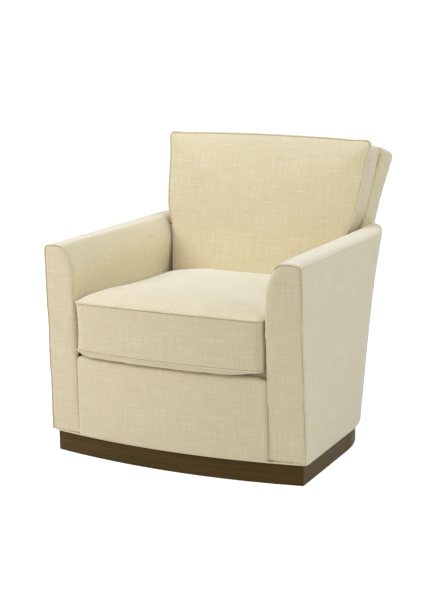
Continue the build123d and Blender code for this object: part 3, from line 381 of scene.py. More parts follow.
def woven_finish(name, pale, even, straw, thread, slub, relief_depth):
    """Plain weave of uneven yarn: fine threads both ways, with thicker slubs among them."""
    cloth = bpy.data.materials.new(name)
    cloth.use_nodes = True
    tree = cloth.node_tree
    nap = tree.nodes["Principled BSDF"]
    weave_map = tree.nodes.new("ShaderNodeUVMap")
    weave_map.uv_map = "UVMap"
    layers = []
    for across, along in ((FINE_ACROSS * thread, FINE_ALONG * slub), (thread, slub)):
        crossing = tree.nodes.new("ShaderNodeMath")
        crossing.operation = "ADD"
        for end, lay_scale in enumerate(((across, along, 1.0), (along, across, 1.0))):
            lay = tree.nodes.new("ShaderNodeMapping")
            lay.inputs["Scale"].default_value = lay_scale
            lay.inputs["Location"].default_value = [shift * end for shift in WEFT_SHIFT]
            tree.links.new(weave_map.outputs["UV"], lay.inputs["Vector"])
            yarn = tree.nodes.new("ShaderNodeTexNoise")
            yarn.noise_dimensions = "2D"
            yarn.inputs["Scale"].default_value = 1.0
            yarn.inputs["Detail"].default_value = 2.0
            yarn.inputs["Roughness"].default_value = 0.5
            tree.links.new(lay.outputs["Vector"], yarn.inputs["Vector"])
            tree.links.new(yarn.outputs["Fac"], crossing.inputs[end])
        layers.append(crossing)
    fine, thick = layers
    spread = tree.nodes.new("ShaderNodeMapRange")
    spread.inputs["From Min"].default_value = 0.62
    spread.inputs["From Max"].default_value = 1.38
    tree.links.new(thick.outputs["Value"], spread.inputs["Value"])
    dye = tree.nodes.new("ShaderNodeValToRGB")
    dye.color_ramp.elements[0].color = (*straw, 1.0)
    dye.color_ramp.elements[1].color = (*pale, 1.0)
    for stop in (0.40, 0.60):
        dye.color_ramp.elements.new(stop).color = (*even, 1.0)
    tree.links.new(spread.outputs["Result"], dye.inputs["Fac"])
    shade = tree.nodes.new("ShaderNodeMapRange")
    shade.inputs["From Min"].default_value = 0.7
    shade.inputs["From Max"].default_value = 1.3
    shade.inputs["To Min"].default_value = 0.965
    shade.inputs["To Max"].default_value = 1.035
    tree.links.new(fine.outputs["Value"], shade.inputs["Value"])
    colour = tree.nodes.new("ShaderNodeVectorMath")
    colour.operation = "SCALE"
    tree.links.new(dye.outputs["Color"], colour.inputs[0])
    tree.links.new(shade.outputs["Result"], colour.inputs["Scale"])
    tree.links.new(colour.outputs["Vector"], nap.inputs["Base Color"])
    nap.inputs["Roughness"].default_value = 0.9
    nap.inputs["Specular IOR Level"].default_value = 0.2
    nap.inputs["Sheen Weight"].default_value = 1.0
    nap.inputs["Sheen Roughness"].default_value = 0.5
    nap.inputs["Sheen Tint"].default_value = (1.0, 1.0, 1.0, 1.0)
    height = tree.nodes.new("ShaderNodeMath")
    height.operation = "MULTIPLY_ADD"
    height.inputs[1].default_value = 0.6
    tree.links.new(fine.outputs["Value"], height.inputs[0])
    tree.links.new(thick.outputs["Value"], height.inputs[2])
    relief = tree.nodes.new("ShaderNodeBump")
    relief.inputs["Strength"].default_value = 0.4
    relief.inputs["Distance"].default_value = relief_depth
    tree.links.new(height.outputs["Value"], relief.inputs["Height"])
    tree.links.new(relief.outputs["Normal"], nap.inputs["Normal"])
    return cloth


platform_cloth = woven_finish(
    "platform_cloth", pale=(0.70, 0.64, 0.50), even=(0.64, 0.58, 0.44), straw=(0.58, 0.52, 0.38),
    thread=900.0, slub=90.0, relief_depth=0.0003,
)
DECK_TACKED, DECK_TURN = 0.012, 0.010
DECK_SPREAD = 0.009
deck_low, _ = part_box("seat_deck")


def deck_tacks(point):
    return ramp(deck_low[2] + DECK_TACKED - point.z, 0.0, DECK_TURN)


deck = cover_blank("deck_pad", ["seat_deck"], square=0.006)
soften(deck, rounds=8, tacked=deck_tacks)
for vertex in deck.data.vertices:
    spread = DECK_SPREAD * ramp(abs(vertex.co.x), 0.230, 0.280)
    vertex.co.x += math.copysign(spread, vertex.co.x)
dress(deck, platform_cloth, ["seat_deck"])

# Base welt: a covered cord sewn round the lower edge of the body, just over the plinth.
# It is the same cloth as the body's, cut on the bias round a cord of about four millimetres.
linen = woven_finish(
    "straw_linen",
    pale=(0.81, 0.732, 0.520), even=(0.75, 0.651, 0.405), straw=(0.715, 0.611, 0.363),
    thread=400.0, slub=24.0, relief_depth=0.0006,
)
# Darker copy of the linen for thin tubes beside the cords: painted shade in the creases of the
# seams.
painted_seam_shade = woven_finish(
    "linen_painted_seam_shade",
    pale=(0.46, 0.39, 0.25), even=(0.41, 0.34, 0.20), straw=(0.36, 0.29, 0.16),
    thread=400.0, slub=60.0, relief_depth=0.0003,
)
BODY_HALF, BODY_FRONT, BODY_BOW, BODY_REAR, BODY_CORNER = 0.395, -0.380, 0.041, 0.252, 0.300
BOW_STEPS, TURN_STEPS = 32, 24
ARM_TOP = 0.612
TURN_X, TURN_Y, TURN_RADIUS = (0.095, 0.187), (-0.048, 0.166), (0.300, 0.207)
FLARE, FULL_CORNER = 0.005, 0.010
ARM_FRONT, ARM_REAR = -0.38, 0.20
ARM_LIFT, ARM_FALL = 0.007, 0.017
WELT_RADIUS = 0.0024
# Size and place of the thin dark tubes of painted seam shade beside the cords.
CREASE_RADIUS = 0.0008
CREASE_ASIDE, CREASE_STANDS = 0.8, 0.1
EVEN_ROUNDS = 2
CORD, SEAM_SHADE = 0, 1
NEARLY_STRAIGHT = 0.1


def walk(points, closed, step):
    """The same line with points at an even step along it."""
    ring = points + points[:1] if closed else points
    laid = []
    carry = 0.0
    for start, end in zip(ring[:-1], ring[1:]):
        run = (end - start).length
        while carry < run:
            laid.append(start.lerp(end, carry / run))
            carry += step
        carry -= run
    if not closed:
        laid.append(ring[-1])
    return laid


def rounded(corners, radius, steps=6):
    """Closed line through flat corners, each turned with the same small radius."""
    line = []
    count = len(corners)
    for index, corner in enumerate(corners):
        before = (corners[index - 1] - corner).normalized()
        after = (corners[(index + 1) % count] - corner).normalized()
        half_turn = (math.pi - before.angle(after)) / 2
        if half_turn < NEARLY_STRAIGHT:
            line.append(corner)
            continue
        reach = radius * math.tan(half_turn)
        middle = corner + (before + after).normalized() * (radius / math.cos(half_turn))
        for step in range(steps + 1):
            share = step / steps
            chord = (corner + before * reach).lerp(corner + after * reach, share) - middle
            line.append(middle + chord.normalized() * radius)
    return line


def laid_on(points, covers, stands):
    """The points moved to the nearest cover, standing off it, with the cover's direction there."""
    laid = []
    for point in points:
        near = []
        for cover in covers:
            _, spot, normal, _ = cover.closest_point_on_mesh(point)
            near.append(((spot - point).length, spot + normal * stands, normal))
        laid.append(min(near, key=lambda entry: entry[0])[1:] if near else (point, None))
    return laid


def evened(points, closed):
    """The line without the small jumps of the mesh that it was laid on."""
    for _ in range(EVEN_ROUNDS):
        last = len(points) - 1
        points = [
            (points[index - 1] + spot * 2 + points[(index + 1) % len(points)]) / 4
            if closed or 0 < index < last else spot
            for index, spot in enumerate(points)
        ]
    return points


def seam_piece(name, runs, closed, body, nodes):
    """Cords and thin dark tubes of painted seam shade along one seam: each run is a line, its radii
    and its cloth.
    """
    path = bpy.data.curves.new(name, "CURVE")
    path.dimensions = "3D"
    path.bevel_depth = 1.0
    path.bevel_resolution = 2
    path.use_fill_caps = not closed
    path.materials.append(linen)
    # The second cloth is the darker linen of the painted seam shade.
    path.materials.append(painted_seam_shade)
    for points, radii, cloth in runs:
        line = path.splines.new("POLY")
        line.points.add(len(points) - 1)
        for spot, radius, point in zip(points, radii, line.points):
            point.co = (*spot, 1.0)
            point.radius = radius
        line.use_cyclic_u = closed
        line.material_index = cloth
    new_piece(name, path)
    bpy.ops.object.convert(target="MESH")
    cord = bpy.context.view_layer.objects.active
    unfold(cord)
    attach(cord, body)
    if nodes:
        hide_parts(*nodes)


def full_seam_shade(spot):
    """Painted shade in a crease that is equally deep all along its seam."""
    return CREASE_RADIUS


def welt(
    name, points, closed, radius, lies_on, stands, body, nodes, sides=(1, -1), depth=full_seam_shade
):
    """A covered cord laid along a seam, with painted shade in the crease of the seam beside it, as
    thin dark tubes.
    """
    laid = laid_on(points, lies_on, stands)
    line = evened([spot for spot, _ in laid], closed)
    runs = [(line, [radius] * len(line), CORD)]
    if lies_on:
        last = len(line) - 1
        for sign in sides:
            beside = []
            for index, (_, normal) in enumerate(laid):
                before = line[index - 1] if closed or index else line[index]
                after = line[(index + 1) % len(line)] if closed or index < last else line[index]
                aside = (after - before).cross(normal).normalized() * sign
                beside.append(line[index] + aside * (radius + CREASE_ASIDE * CREASE_RADIUS))
            pressed = laid_on(beside, lies_on, CREASE_STANDS * CREASE_RADIUS)
            crease = [spot for spot, _ in pressed]
            runs.append((evened(crease, closed), [depth(spot) for spot in crease], SEAM_SHADE))
    seam_piece(name, runs, closed, body, nodes)


def rear_turn(height):
    """Middle and radius of the round rear corner, which is tighter at the arms than below."""
    rise = part_way(height, 0.0, ARM_TOP)
    return [low + (top - low) * rise for low, top in (TURN_X, TURN_Y, TURN_RADIUS)]


def body_form(point):
    """The point as padding leaves it: body flared at the bottom, arms falling to the rear."""
    low = 1.0 - ramp(point.z, 0.08, 0.50)
    turn_x, turn_y, _ = rear_turn(point.z)
    out = Vector((abs(point.x) - turn_x, point.y - turn_y))
    push = Vector((FLARE * low * ramp(abs(point.x), 0.330, 0.385), 0.0))
    if out.x > 0 and out.y > 0:
        turned = math.atan2(out.y, out.x)
        full = FULL_CORNER * low * math.sin(2 * turned) ** 2
        push += out.normalized() * full * ramp(out.length, 0.150, 0.200)
    at_arms = ramp(point.z, 0.420, 0.590) * (1.0 - ramp(point.z, 0.630, 0.720))
    fall = (ARM_LIFT - ARM_FALL * part_way(point.y, ARM_FRONT, ARM_REAR)) * at_arms
    return Vector((
        point.x + math.copysign(push.x, point.x), point.y + push.y, point.z + fall,
    ))


def across_bow(half, steps):
    """Places across a shallow bow, each with its share of the bow's full depth."""
    places = [-half + 2 * half * step / steps for step in range(steps + 1)]
    return [(across, 1 - (across / half) ** 2) for across in places]


def body_plan(inset, height):
    """Lower edge of the body as a closed line: bowed front, straight sides, round rear."""
    half, rear, turn = BODY_HALF - inset, BODY_REAR - inset, BODY_CORNER - inset
    front = BODY_FRONT + inset
    line = []
    for across, share in across_bow(half, BOW_STEPS):
        line.append(Vector((across, front - BODY_BOW * share, height)))
    for sign, begin in ((1, 0), (-1, 90)):
        for step in range(TURN_STEPS + 1):
            turned = math.radians(begin + 90 * step / TURN_STEPS)
            line.append(Vector((
                sign * (half - turn) + turn * math.cos(turned),
                rear - turn + turn * math.sin(turned), height,
            )))
    return line


base_line = walk(rounded(body_plan(inset=0.0022, height=0.0642), radius=0.007), True, step=0.006)
welt(
    "base_edge_welt", [body_form(spot) for spot in base_line], True, WELT_RADIUS,
    lies_on=[], stands=0.0, body="chair", nodes=["base_welt"],
)

# Arms: foam over the wooden arm frame, one cover drawn over top, inside and front.
# The outside panel is tacked along the bottom, and the cover rounds softly into the seat.
SIDES = (("left", -1), ("right", 1))
BODY_HEM, LOW_EDGE = (0.074, 0.107), (0.066, 0.090)
SEAT_SHIFT, SHIFT_LOST_HIGH = 0.007, 0.6
ARM_TOP_SLOPE, ARM_HEM_DROP = 0.007, 0.0035
TUCK_BACK, TUCK_IN = 0.058, 0.002
FRONT_EDGE_HELD, PADDING_HELD = 0.85, 0.55


def seat_side(point):
    """The point with the padding beside the seat, which is thicker on the right arm."""
    near = (1.0 - ramp(point.y, -0.280, 0.020)) * (1.0 - ramp(abs(point.x), 0.315, 0.385))
    near *= 1.0 - SHIFT_LOST_HIGH * ramp(point.z, 0.480, 0.600)
    return Vector((point.x - SEAT_SHIFT * near, point.y, point.z))


def arm_tacks(point):
    across = abs(point.x)
    hem = 1.0 - ramp(point.z, *BODY_HEM)
    rear_seam = 1.0 - ramp(across, 0.160, 0.190)
    front_edge = ramp(across, 0.376, 0.390) * ramp(-0.352 - point.y, 0.0, 0.012)
    inner_edge = ramp(point.z, 0.500, 0.540) * (1.0 - ramp(across, 0.310, 0.345))
    behind = ramp(point.y, -0.360, -0.330) * (1.0 - inner_edge)
    elsewhere = max(behind, ramp(across, 0.340, 0.375))
    return max(hem, rear_seam, FRONT_EDGE_HELD * front_edge, PADDING_HELD * elsewhere)


arm_covers = {}
for side, _ in SIDES:
    arm_nodes = [f"{side}_arm_face", f"{side}_arm_pad", f"{side}_outside_arm"]
    arm = cover_blank(f"{side}_arm_cover", arm_nodes, square=0.005)
    for vertex in arm.data.vertices:
        at = vertex.co.copy()
        outward = ramp(abs(at.x), 0.350, 0.395) ** 2
        vertex.co.z -= ARM_TOP_SLOPE * outward * ramp(at.z, 0.570, 0.610)
        vertex.co.z -= ARM_HEM_DROP * (1.0 - ramp(at.z, *LOW_EDGE))
        tucked = ramp(at.y, 0.100, 0.146) * (1.0 - ramp(at.y, 0.150, 0.156))
        tucked *= ramp(at.z, 0.240, 0.270) * (1.0 - ramp(at.z, 0.592, 0.604))
        tucked *= 1.0 - ramp(abs(at.x), 0.325, 0.340)
        vertex.co.y += TUCK_BACK * tucked
        vertex.co.x -= math.copysign(TUCK_IN * tucked, at.x)
        vertex.co = seat_side(body_form(vertex.co))
    soften(arm, rounds=34, tacked=arm_tacks)
    dress(arm, linen, arm_nodes)
    arm_covers[side] = arm

# Arm front welts: covered cords up the outer edge of each arm front and over its top.
# The top run dies away into the soft inner shoulder. Beside the upright of the left arm, where
# light falls, the painted shade of the crease is thinner.
# Painted crease shade of the left welt: thinner up the lit upright, full over the top.
LEFT_LIT_SHADE_SHARE = 0.3


def left_lit_seam_shade(spot):
    return CREASE_RADIUS * (LEFT_LIT_SHADE_SHARE + (1.0 - LEFT_LIT_SHADE_SHARE) * ramp(spot.z, 0.570, 0.600))


FACE_LOW, FACE_SPAN, FACE_SET_BACK = 0.0663, 0.101, 0.015
FACE_ROUND, FACE_ROUND_STEPS = 0.012, 6
WELT_TOP_END, WELT_DIP_END = 0.030, 0.020
FACE_YAW = math.radians(6)
FACE_RISE = ARM_TOP - FACE_LOW
FACE_LEAN = math.atan(FACE_SET_BACK / FACE_RISE)
FACE_HEIGHT = FACE_RISE / math.cos(FACE_LEAN)
FACE_WIDTH = FACE_SPAN / math.cos(FACE_YAW)
face_foot = Vector((BODY_HALF, BODY_FRONT, FACE_LOW))
face_across = Vector((math.cos(FACE_YAW), math.sin(FACE_YAW), 0))
face_out = Vector((
    math.sin(FACE_YAW) * math.cos(FACE_LEAN),
    -math.cos(FACE_YAW) * math.cos(FACE_LEAN),
    -math.sin(FACE_LEAN),
))
face_up = face_out.cross(face_across)
face_shoulder = FACE_HEIGHT - FACE_ROUND
face_line = [Vector((0, 0)), Vector((0, face_shoulder))]
for step in range(1, FACE_ROUND_STEPS + 1):
    turned = math.radians(90 * step / FACE_ROUND_STEPS)
    face_line.append(Vector((
        FACE_ROUND * math.cos(turned) - FACE_ROUND,
        face_shoulder + FACE_ROUND * math.sin(turned),
    )))
face_line.append(Vector((WELT_TOP_END - FACE_WIDTH, FACE_HEIGHT)))
face_line.append(Vector((WELT_DIP_END - FACE_WIDTH, face_shoulder)))
for side, sign in SIDES:
    welt_points = []
    for flat in face_line:
        spot = face_foot + face_across * flat.x + face_up * flat.y
        welt_points.append(Vector((sign * spot.x, spot.y, spot.z)))
    welt_points = [seat_side(body_form(spot)) for spot in walk(welt_points, False, step=0.005)]
    welt(
        f"{side}_arm_front_welt", welt_points, False, WELT_RADIUS,
        lies_on=[arm_covers[side]], stands=0.0010, body="chair", nodes=[f"{side}_arm_welt"],
        depth=left_lit_seam_shade if side == "left" else full_seam_shade,
    )

# Arm top seams: plain sewn seams where the top of each arm turns down to the outside, drawn as thin
# dark tubes of painted seam shade.
# They run back from the welt and round the rear corner, where the cloth puckers a little.
TOP_SEAM_FRONT, TOP_SEAM_HEIGHT, TOP_SEAM_TURN = -0.384, 0.599, 62
TOP_SEAM_STEPS = 60
TOP_SEAM_RADIUS, TOP_SEAM_STANDS = 0.8 * CREASE_RADIUS, -0.0002
PUCKER, PUCKER_SHORT, PUCKER_LONG = 0.0009, 1.9, 0.53
turn_x, turn_y, turn_radius = rear_turn(ARM_TOP)
for side, sign in SIDES:
    fold_line = []
    for step in range(TOP_SEAM_STEPS + 1):
        along = TOP_SEAM_FRONT + (turn_y - TOP_SEAM_FRONT) * step / TOP_SEAM_STEPS
        fold_line.append(Vector((sign * (turn_x + turn_radius), along, TOP_SEAM_HEIGHT)))
    for step in range(1, TURN_STEPS + 1):
        turned = math.radians(TOP_SEAM_TURN * step / TURN_STEPS)
        fold_line.append(Vector((
            sign * (turn_x + turn_radius * math.cos(turned)),
            turn_y + turn_radius * math.sin(turned), TOP_SEAM_HEIGHT,
        )))
    puckered = []
    for index, point in enumerate(walk(fold_line, False, step=0.005)):
        wave = math.sin(PUCKER_SHORT * index) * math.sin(PUCKER_LONG * index)
        puckered.append(body_form(point) + Vector((0, 0, PUCKER * wave)))
    top_seam = [spot for spot, _ in laid_on(puckered, [arm_covers[side]], TOP_SEAM_STANDS)]
    top_run = (top_seam, [TOP_SEAM_RADIUS] * len(top_seam), SEAM_SHADE)
    seam_piece(f"{side}_arm_top_seam", [top_run], False, body="chair", nodes=[])

# Front border: padded panel under the cushion, bowed with the front rail.
# It is drawn over the rail at the top and tacked under the frame at the bottom.
BORDER_LOW, BORDER_TOP = 0.066, 0.306
BORDER_BULGE, BORDER_HEM_DROP, BORDER_TOP_DROP = 0.004, 0.0025, 0.006
LEFT_CORNER_DROP, RIGHT_CORNER_DROP = 0.003, 0.007
LEFT_PRESS, RIGHT_PRESS = 0.0025, 0.0055
BORDER_EDGE_HELD = 0.7


def border_tacks(point):
    hem = 1.0 - ramp(point.z, 0.072, 0.097)
    side_edge = BORDER_EDGE_HELD * ramp(abs(point.x), 0.270, 0.288)
    return max(hem, side_edge)


border = cover_blank("front_border_cover", ["front_border"], square=0.0045)
for vertex in border.data.vertices:
    at = vertex.co
    full = 1.0 - ramp(abs(at.x), 0.10, 0.29)
    full *= math.sin(math.pi * part_way(at.z, BORDER_LOW, BORDER_TOP))
    vertex.co.y -= BORDER_BULGE * full * ramp(-0.375 - at.y, 0.0, 0.01)
    vertex.co.z -= BORDER_HEM_DROP * (1.0 - ramp(at.z, *LOW_EDGE))
    corner_drop = LEFT_CORNER_DROP if at.x < 0 else RIGHT_CORNER_DROP
    vertex.co.z -= corner_drop * ramp(abs(at.x), 0.255, 0.294) ** 2 * ramp(at.z, 0.20, 0.30)
    over_rail = ramp(at.z, 0.26, 0.30) * (1.0 - ramp(at.y, -0.370, -0.320))
    vertex.co.z -= BORDER_TOP_DROP * over_rail
soften(border, rounds=10, tacked=border_tacks)
for vertex in border.data.vertices:
    press = LEFT_PRESS if vertex.co.x < 0 else RIGHT_PRESS
    vertex.co.x += math.copysign(press * ramp(abs(vertex.co.x), 0.270, 0.290), vertex.co.x)
    vertex.co = seat_side(vertex.co)
dress(border, linen, ["front_border"])

# Outside back: the raked upper back and the panel below it, cloth over a thin pad.
# Its two upright seams meet the outside arms and are finished with a welt.
BACK_SLOPE, BACK_TOP = 0.345, 0.850
BACK_WIDER, BACK_RAISED = 0.008, 0.006
BACK_DRAWN_DOWN, BACK_DRAWN_ON = 0.013, 0.012
REAR_SEAM_X, REAR_SEAM_LOW, REAR_SEAM_RUN, REAR_SEAM_STEPS = 0.155, 0.068, 0.510, 40
REAR_WELT_RADIUS = 0.0022


def behind_slope(point):
    """How deep the point lies, measured level from the slope that the back leans on."""
    return point.y - BACK_SLOPE * (point.z - BACK_TOP)


def back_tacks(point):
    hem = 1.0 - ramp(point.z, *BODY_HEM)
    side_seam = ramp(abs(point.x), 0.128, 0.150) * (1.0 - ramp(point.z, 0.560, 0.585))
    return max(hem, side_seam)


back_nodes = ["outside_back_cover", "outside_back_panel"]
outside_back = cover_blank("outside_back_padding", back_nodes, square=0.005)
for vertex in outside_back.data.vertices:
    at = body_form(vertex.co)
    depth = behind_slope(at)
    wider = BACK_WIDER * ramp(at.z, 0.600, 0.780) * ramp(abs(at.x), 0.100, 0.300)
    wider *= ramp(depth, 0.365, 0.415)
    raised = BACK_RAISED * ramp(at.z, 0.780, 0.850)
    corner = ramp(abs(at.x), 0.148, 0.172)
    drawn_down = BACK_DRAWN_DOWN * corner * (1.0 - ramp(at.z, 0.600, 0.680))
    drawn_on = BACK_DRAWN_ON * corner * (1.0 - ramp(at.z, 0.630, 0.800))
    drawn_on *= 1.0 - ramp(depth, 0.368, 0.400)
    vertex.co = Vector((
        at.x + math.copysign(wider, at.x), at.y - drawn_on, at.z + raised - drawn_down,
    ))
soften(outside_back, rounds=5, tacked=back_tacks)
dress(outside_back, linen, back_nodes)

for side, sign in SIDES:
    seam_line = []
    for step in range(REAR_SEAM_STEPS + 1):
        height = REAR_SEAM_LOW + REAR_SEAM_RUN * step / REAR_SEAM_STEPS
        turn_x, turn_y, turn_radius = rear_turn(height)
        round_off = max(REAR_SEAM_X - turn_x, 0.0)
        rear_y = turn_y + math.sqrt(turn_radius ** 2 - round_off ** 2)
        seam_line.append(body_form(Vector((sign * REAR_SEAM_X, rear_y, height))))
    welt(
        f"{side}_rear_seam_welt", walk(seam_line, False, step=0.006), False, REAR_WELT_RADIUS,
        lies_on=[outside_back, arm_covers[side]], stands=0.0006, body="chair", nodes=[],
    )

# Inside-back pillow: foam in a boxed cover with a welt round its face, sewn to the back.
# The cover swells between its seams, so the face stands full and the boxing draws in.
BACK_RAKE = math.atan(BACK_SLOPE)
PILLOW_FACE = 0.264
BACK_ORIGIN = Vector((0, PILLOW_FACE, BACK_TOP))
BACK_UP = Vector((0, math.sin(BACK_RAKE), math.cos(BACK_RAKE)))
BACK_OUT = Vector((0, -math.cos(BACK_RAKE), math.sin(BACK_RAKE)))
PILLOW_HALF, PILLOW_TAPER, PILLOW_CAMBER = 0.334, 0.15, 0.009
PILLOW_FOOT, PILLOW_CORNER, PILLOW_BOXING = 0.3118, 0.014, 0.090
PILLOW_LOW = -(BACK_TOP - PILLOW_FOOT) / math.cos(BACK_RAKE)
EDGE_STEPS = 12
SEAM_STEP, SEAM_HOLD, SEAM_PULL, SEAM_FIRM = 0.002, 0.016, 0.009, 0.85
SWELL_FRAMES, SWELL_LIMIT = 20, 0.010
OVER_ARMS, BETWEEN_ARMS = 0.009, 0.007
EAR_OUT, EAR_UP, EAR_UP_BEHIND = 0.003, 0.004, 0.009


def pillow_edge(inset, depth):
    """Edge of the pillow at a depth behind its face, as a closed line."""
    top_half = PILLOW_HALF - inset
    low_half = PILLOW_HALF + PILLOW_TAPER * PILLOW_LOW - inset
    corners = []
    for across, share in across_bow(top_half, EDGE_STEPS):
        corners.append(Vector((across, PILLOW_CAMBER * share - inset)))
    corners.append(Vector((low_half, PILLOW_LOW + inset)))
    corners.append(Vector((-low_half, PILLOW_LOW + inset)))
    flat_line = rounded(corners, PILLOW_CORNER)
    return [
        BACK_ORIGIN + Vector((1, 0, 0)) * flat.x + BACK_UP * flat.y - BACK_OUT * depth
        for flat in flat_line
    ]


def seam_points(lines):
    """All points of the seams, ready to be asked for the nearest one."""
    tree = KDTree(sum(len(line) for line in lines))
    index = 0
    for line in lines:
        for spot in line:
            tree.insert(spot, index)
            index += 1
    tree.balance()
    return tree


def near_seams(seams, reach):
    """How firmly a point is held by the seams: 1 on a seam, 0 past the reach."""
    return lambda point: 1.0 - ramp(seams.find(point)[2], 0.3 * reach, reach)


def sewn_out(cover, seams, reach):
    """Draws the cloth out to its seams, which keep an edge where padding would round it."""
    for vertex in cover.data.vertices:
        spot, _, away = seams.find(vertex.co)
        if away < reach:
            drawn = SEAM_FIRM * (1.0 - ramp(away, 0.35 * reach, reach))
            vertex.co = vertex.co.lerp(spot, drawn)


def swell(cover, held, pressure, limit):
    """Fills the cover as foam does: the cloth swells, its seams hold, no point goes too far."""
    seams = cover.vertex_groups.new(name="seams")
    for vertex in cover.data.vertices:
        seams.add([vertex.index], held(vertex.co), "REPLACE")
    start = [vertex.co.copy() for vertex in cover.data.vertices]
    filling = cover.modifiers.new("filling", "CLOTH")
    filling.settings.quality = 5
    filling.settings.mass = 0.3
    filling.settings.tension_stiffness = 15.0
    filling.settings.compression_stiffness = 15.0
    filling.settings.shear_stiffness = 5.0
    filling.settings.bending_stiffness = 0.8
    filling.settings.use_pressure = True
    filling.settings.uniform_pressure_force = pressure
    filling.settings.effector_weights.gravity = 0.0
    filling.settings.vertex_group_mass = seams.name
    filling.point_cache.frame_start = 1
    filling.point_cache.frame_end = SWELL_FRAMES
    for moment in range(1, SWELL_FRAMES + 1):
        bpy.context.scene.frame_set(moment)
    settle(cover, filling)
    for vertex, rest in zip(cover.data.vertices, start):
        moved = vertex.co - rest
        if moved.length > limit:
            vertex.co = rest + moved * (limit / moved.length)
    cover.vertex_groups.clear()
    bpy.context.scene.frame_set(1)


def refine(cover):
    """One round of subdivision, so that the cover shades evenly close up."""
    finer = cover.modifiers.new("finer", "SUBSURF")
    finer.levels = 1
    finer.render_levels = 1
    settle(cover, finer)


def squeezed(point):
    """The point as the arms leave it: pressed in between them, swelling out over them."""
    over = ramp(point.z, 0.590, 0.635) * (1.0 - ramp(point.z, 0.650, 0.830))
    between = 1.0 - ramp(point.z, 0.540, 0.625)
    ear = ramp(abs(point.x), 0.240, 0.330) ** 2 * ramp(point.z, 0.780, 0.850)
    behind = ramp(behind_slope(point), 0.285, 0.335)
    aside = OVER_ARMS * over - BETWEEN_ARMS * between * (1.0 - behind)
    aside = aside * ramp(abs(point.x), 0.150, 0.280) + EAR_OUT * ear
    side = math.copysign(1.0, point.x)
    lifted = (EAR_UP + EAR_UP_BEHIND * behind) * ear
    return Vector((point.x + side * aside, point.y, point.z + lifted))


pillow_nodes = ["back_pillow_cover", "back_pillow_foam"]
pillow = cover_blank("back_pillow", pillow_nodes[:1], square=0.006)
for vertex in pillow.data.vertices:
    vertex.co = squeezed(vertex.co)
pillow_face_line = walk(pillow_edge(inset=0.0, depth=0.0), True, SEAM_STEP)
pillow_rear_line = walk(pillow_edge(inset=0.003, depth=PILLOW_BOXING), True, SEAM_STEP)
pillow_face_seam = [squeezed(spot) for spot in pillow_face_line]
pillow_rear_seam = [squeezed(spot) for spot in pillow_rear_line]
pillow_seams = seam_points([pillow_face_seam, pillow_rear_seam])
pillow_held = near_seams(pillow_seams, SEAM_HOLD)
soften(pillow, rounds=5, tacked=pillow_held)
swell(pillow, pillow_held, pressure=3.0, limit=SWELL_LIMIT)
sewn_out(pillow, pillow_seams, SEAM_PULL)
refine(pillow)
dress(pillow, linen, pillow_nodes)
welt(
    "back_pillow_edge_welt", pillow_face_seam[::2], True, WELT_RADIUS,
    lies_on=[pillow], stands=0.0008, body="chair", nodes=["back_pillow_welt"],
)

# Seat cushion: loose box cushion of foam in a zipped cover, welted round both seams.
# The cover swells over the foam, above and below its seams, but stays thin at its corners.
CUSHION_FRONT, CUSHION_BOW, CUSHION_CORNER = -0.409, 0.022, 0.018
CUSHION_FRONT_HALF, CUSHION_REAR_HALF = 0.2898, 0.2815
CUSHION_LOW, CUSHION_LOW_SEAM, CUSHION_SEAM = 0.3123, 0.3185, 0.4538
CUSHION_LOW_REAR, CUSHION_TOP_REAR = 0.066, 0.092
REAR_SETTLED, FRONT_FULL, MIDDLE_FULL = 0.021, 0.004, 0.005
BOXING_FRONT, BOXING_LEFT, BOXING_RIGHT = 0.004, 0.0015, 0.0045
BELLY_OUT, BELLY_DOWN = 0.008, 0.009


def cushion_edge(height, rear):
    """Seam of the cushion at one height, as a closed line."""
    corners = []
    for across, share in across_bow(CUSHION_FRONT_HALF, EDGE_STEPS):
        corners.append(Vector((across, CUSHION_FRONT - CUSHION_BOW * share)))
    corners.append(Vector((CUSHION_REAR_HALF, rear)))
    corners.append(Vector((-CUSHION_REAR_HALF, rear)))
    return [Vector((flat.x, flat.y, height)) for flat in rounded(corners, CUSHION_CORNER)]


def sat_on(point):
    """The point in a used cover: front full between and below the seams, rear corners settled."""
    front = 1.0 - ramp(point.y, -0.350, -0.200)
    across = 1.0 - (point.x / CUSHION_FRONT_HALF) ** 2
    top = ramp(point.z, CUSHION_SEAM - 0.040, CUSHION_SEAM)
    settled = REAR_SETTLED * ramp(point.y, -0.360, 0.090) * ramp(abs(point.x), 0.100, 0.285)
    belly = 1.0 - ramp(point.x, 0.190, 0.280) - ramp(-point.x, 0.240, 0.300)
    belly *= 1.0 - ramp(point.y, -0.390, -0.330)
    belly *= 1.0 - ramp(point.z, CUSHION_LOW, CUSHION_LOW_SEAM)
    bulge = math.sin(math.pi * part_way(point.z, CUSHION_LOW_SEAM, CUSHION_SEAM))
    aside = BOXING_RIGHT * ramp(point.x, 0.260, 0.285) - BOXING_LEFT * ramp(-point.x, 0.260, 0.285)
    forward = BOXING_FRONT * bulge * (1.0 - ramp(point.y, -0.405, -0.370))
    crowned = (front * (FRONT_FULL + MIDDLE_FULL * across) - settled) * top
    return Vector((
        point.x + aside * bulge,
        point.y - forward - BELLY_OUT * belly,
        point.z + crowned - BELLY_DOWN * belly,
    ))


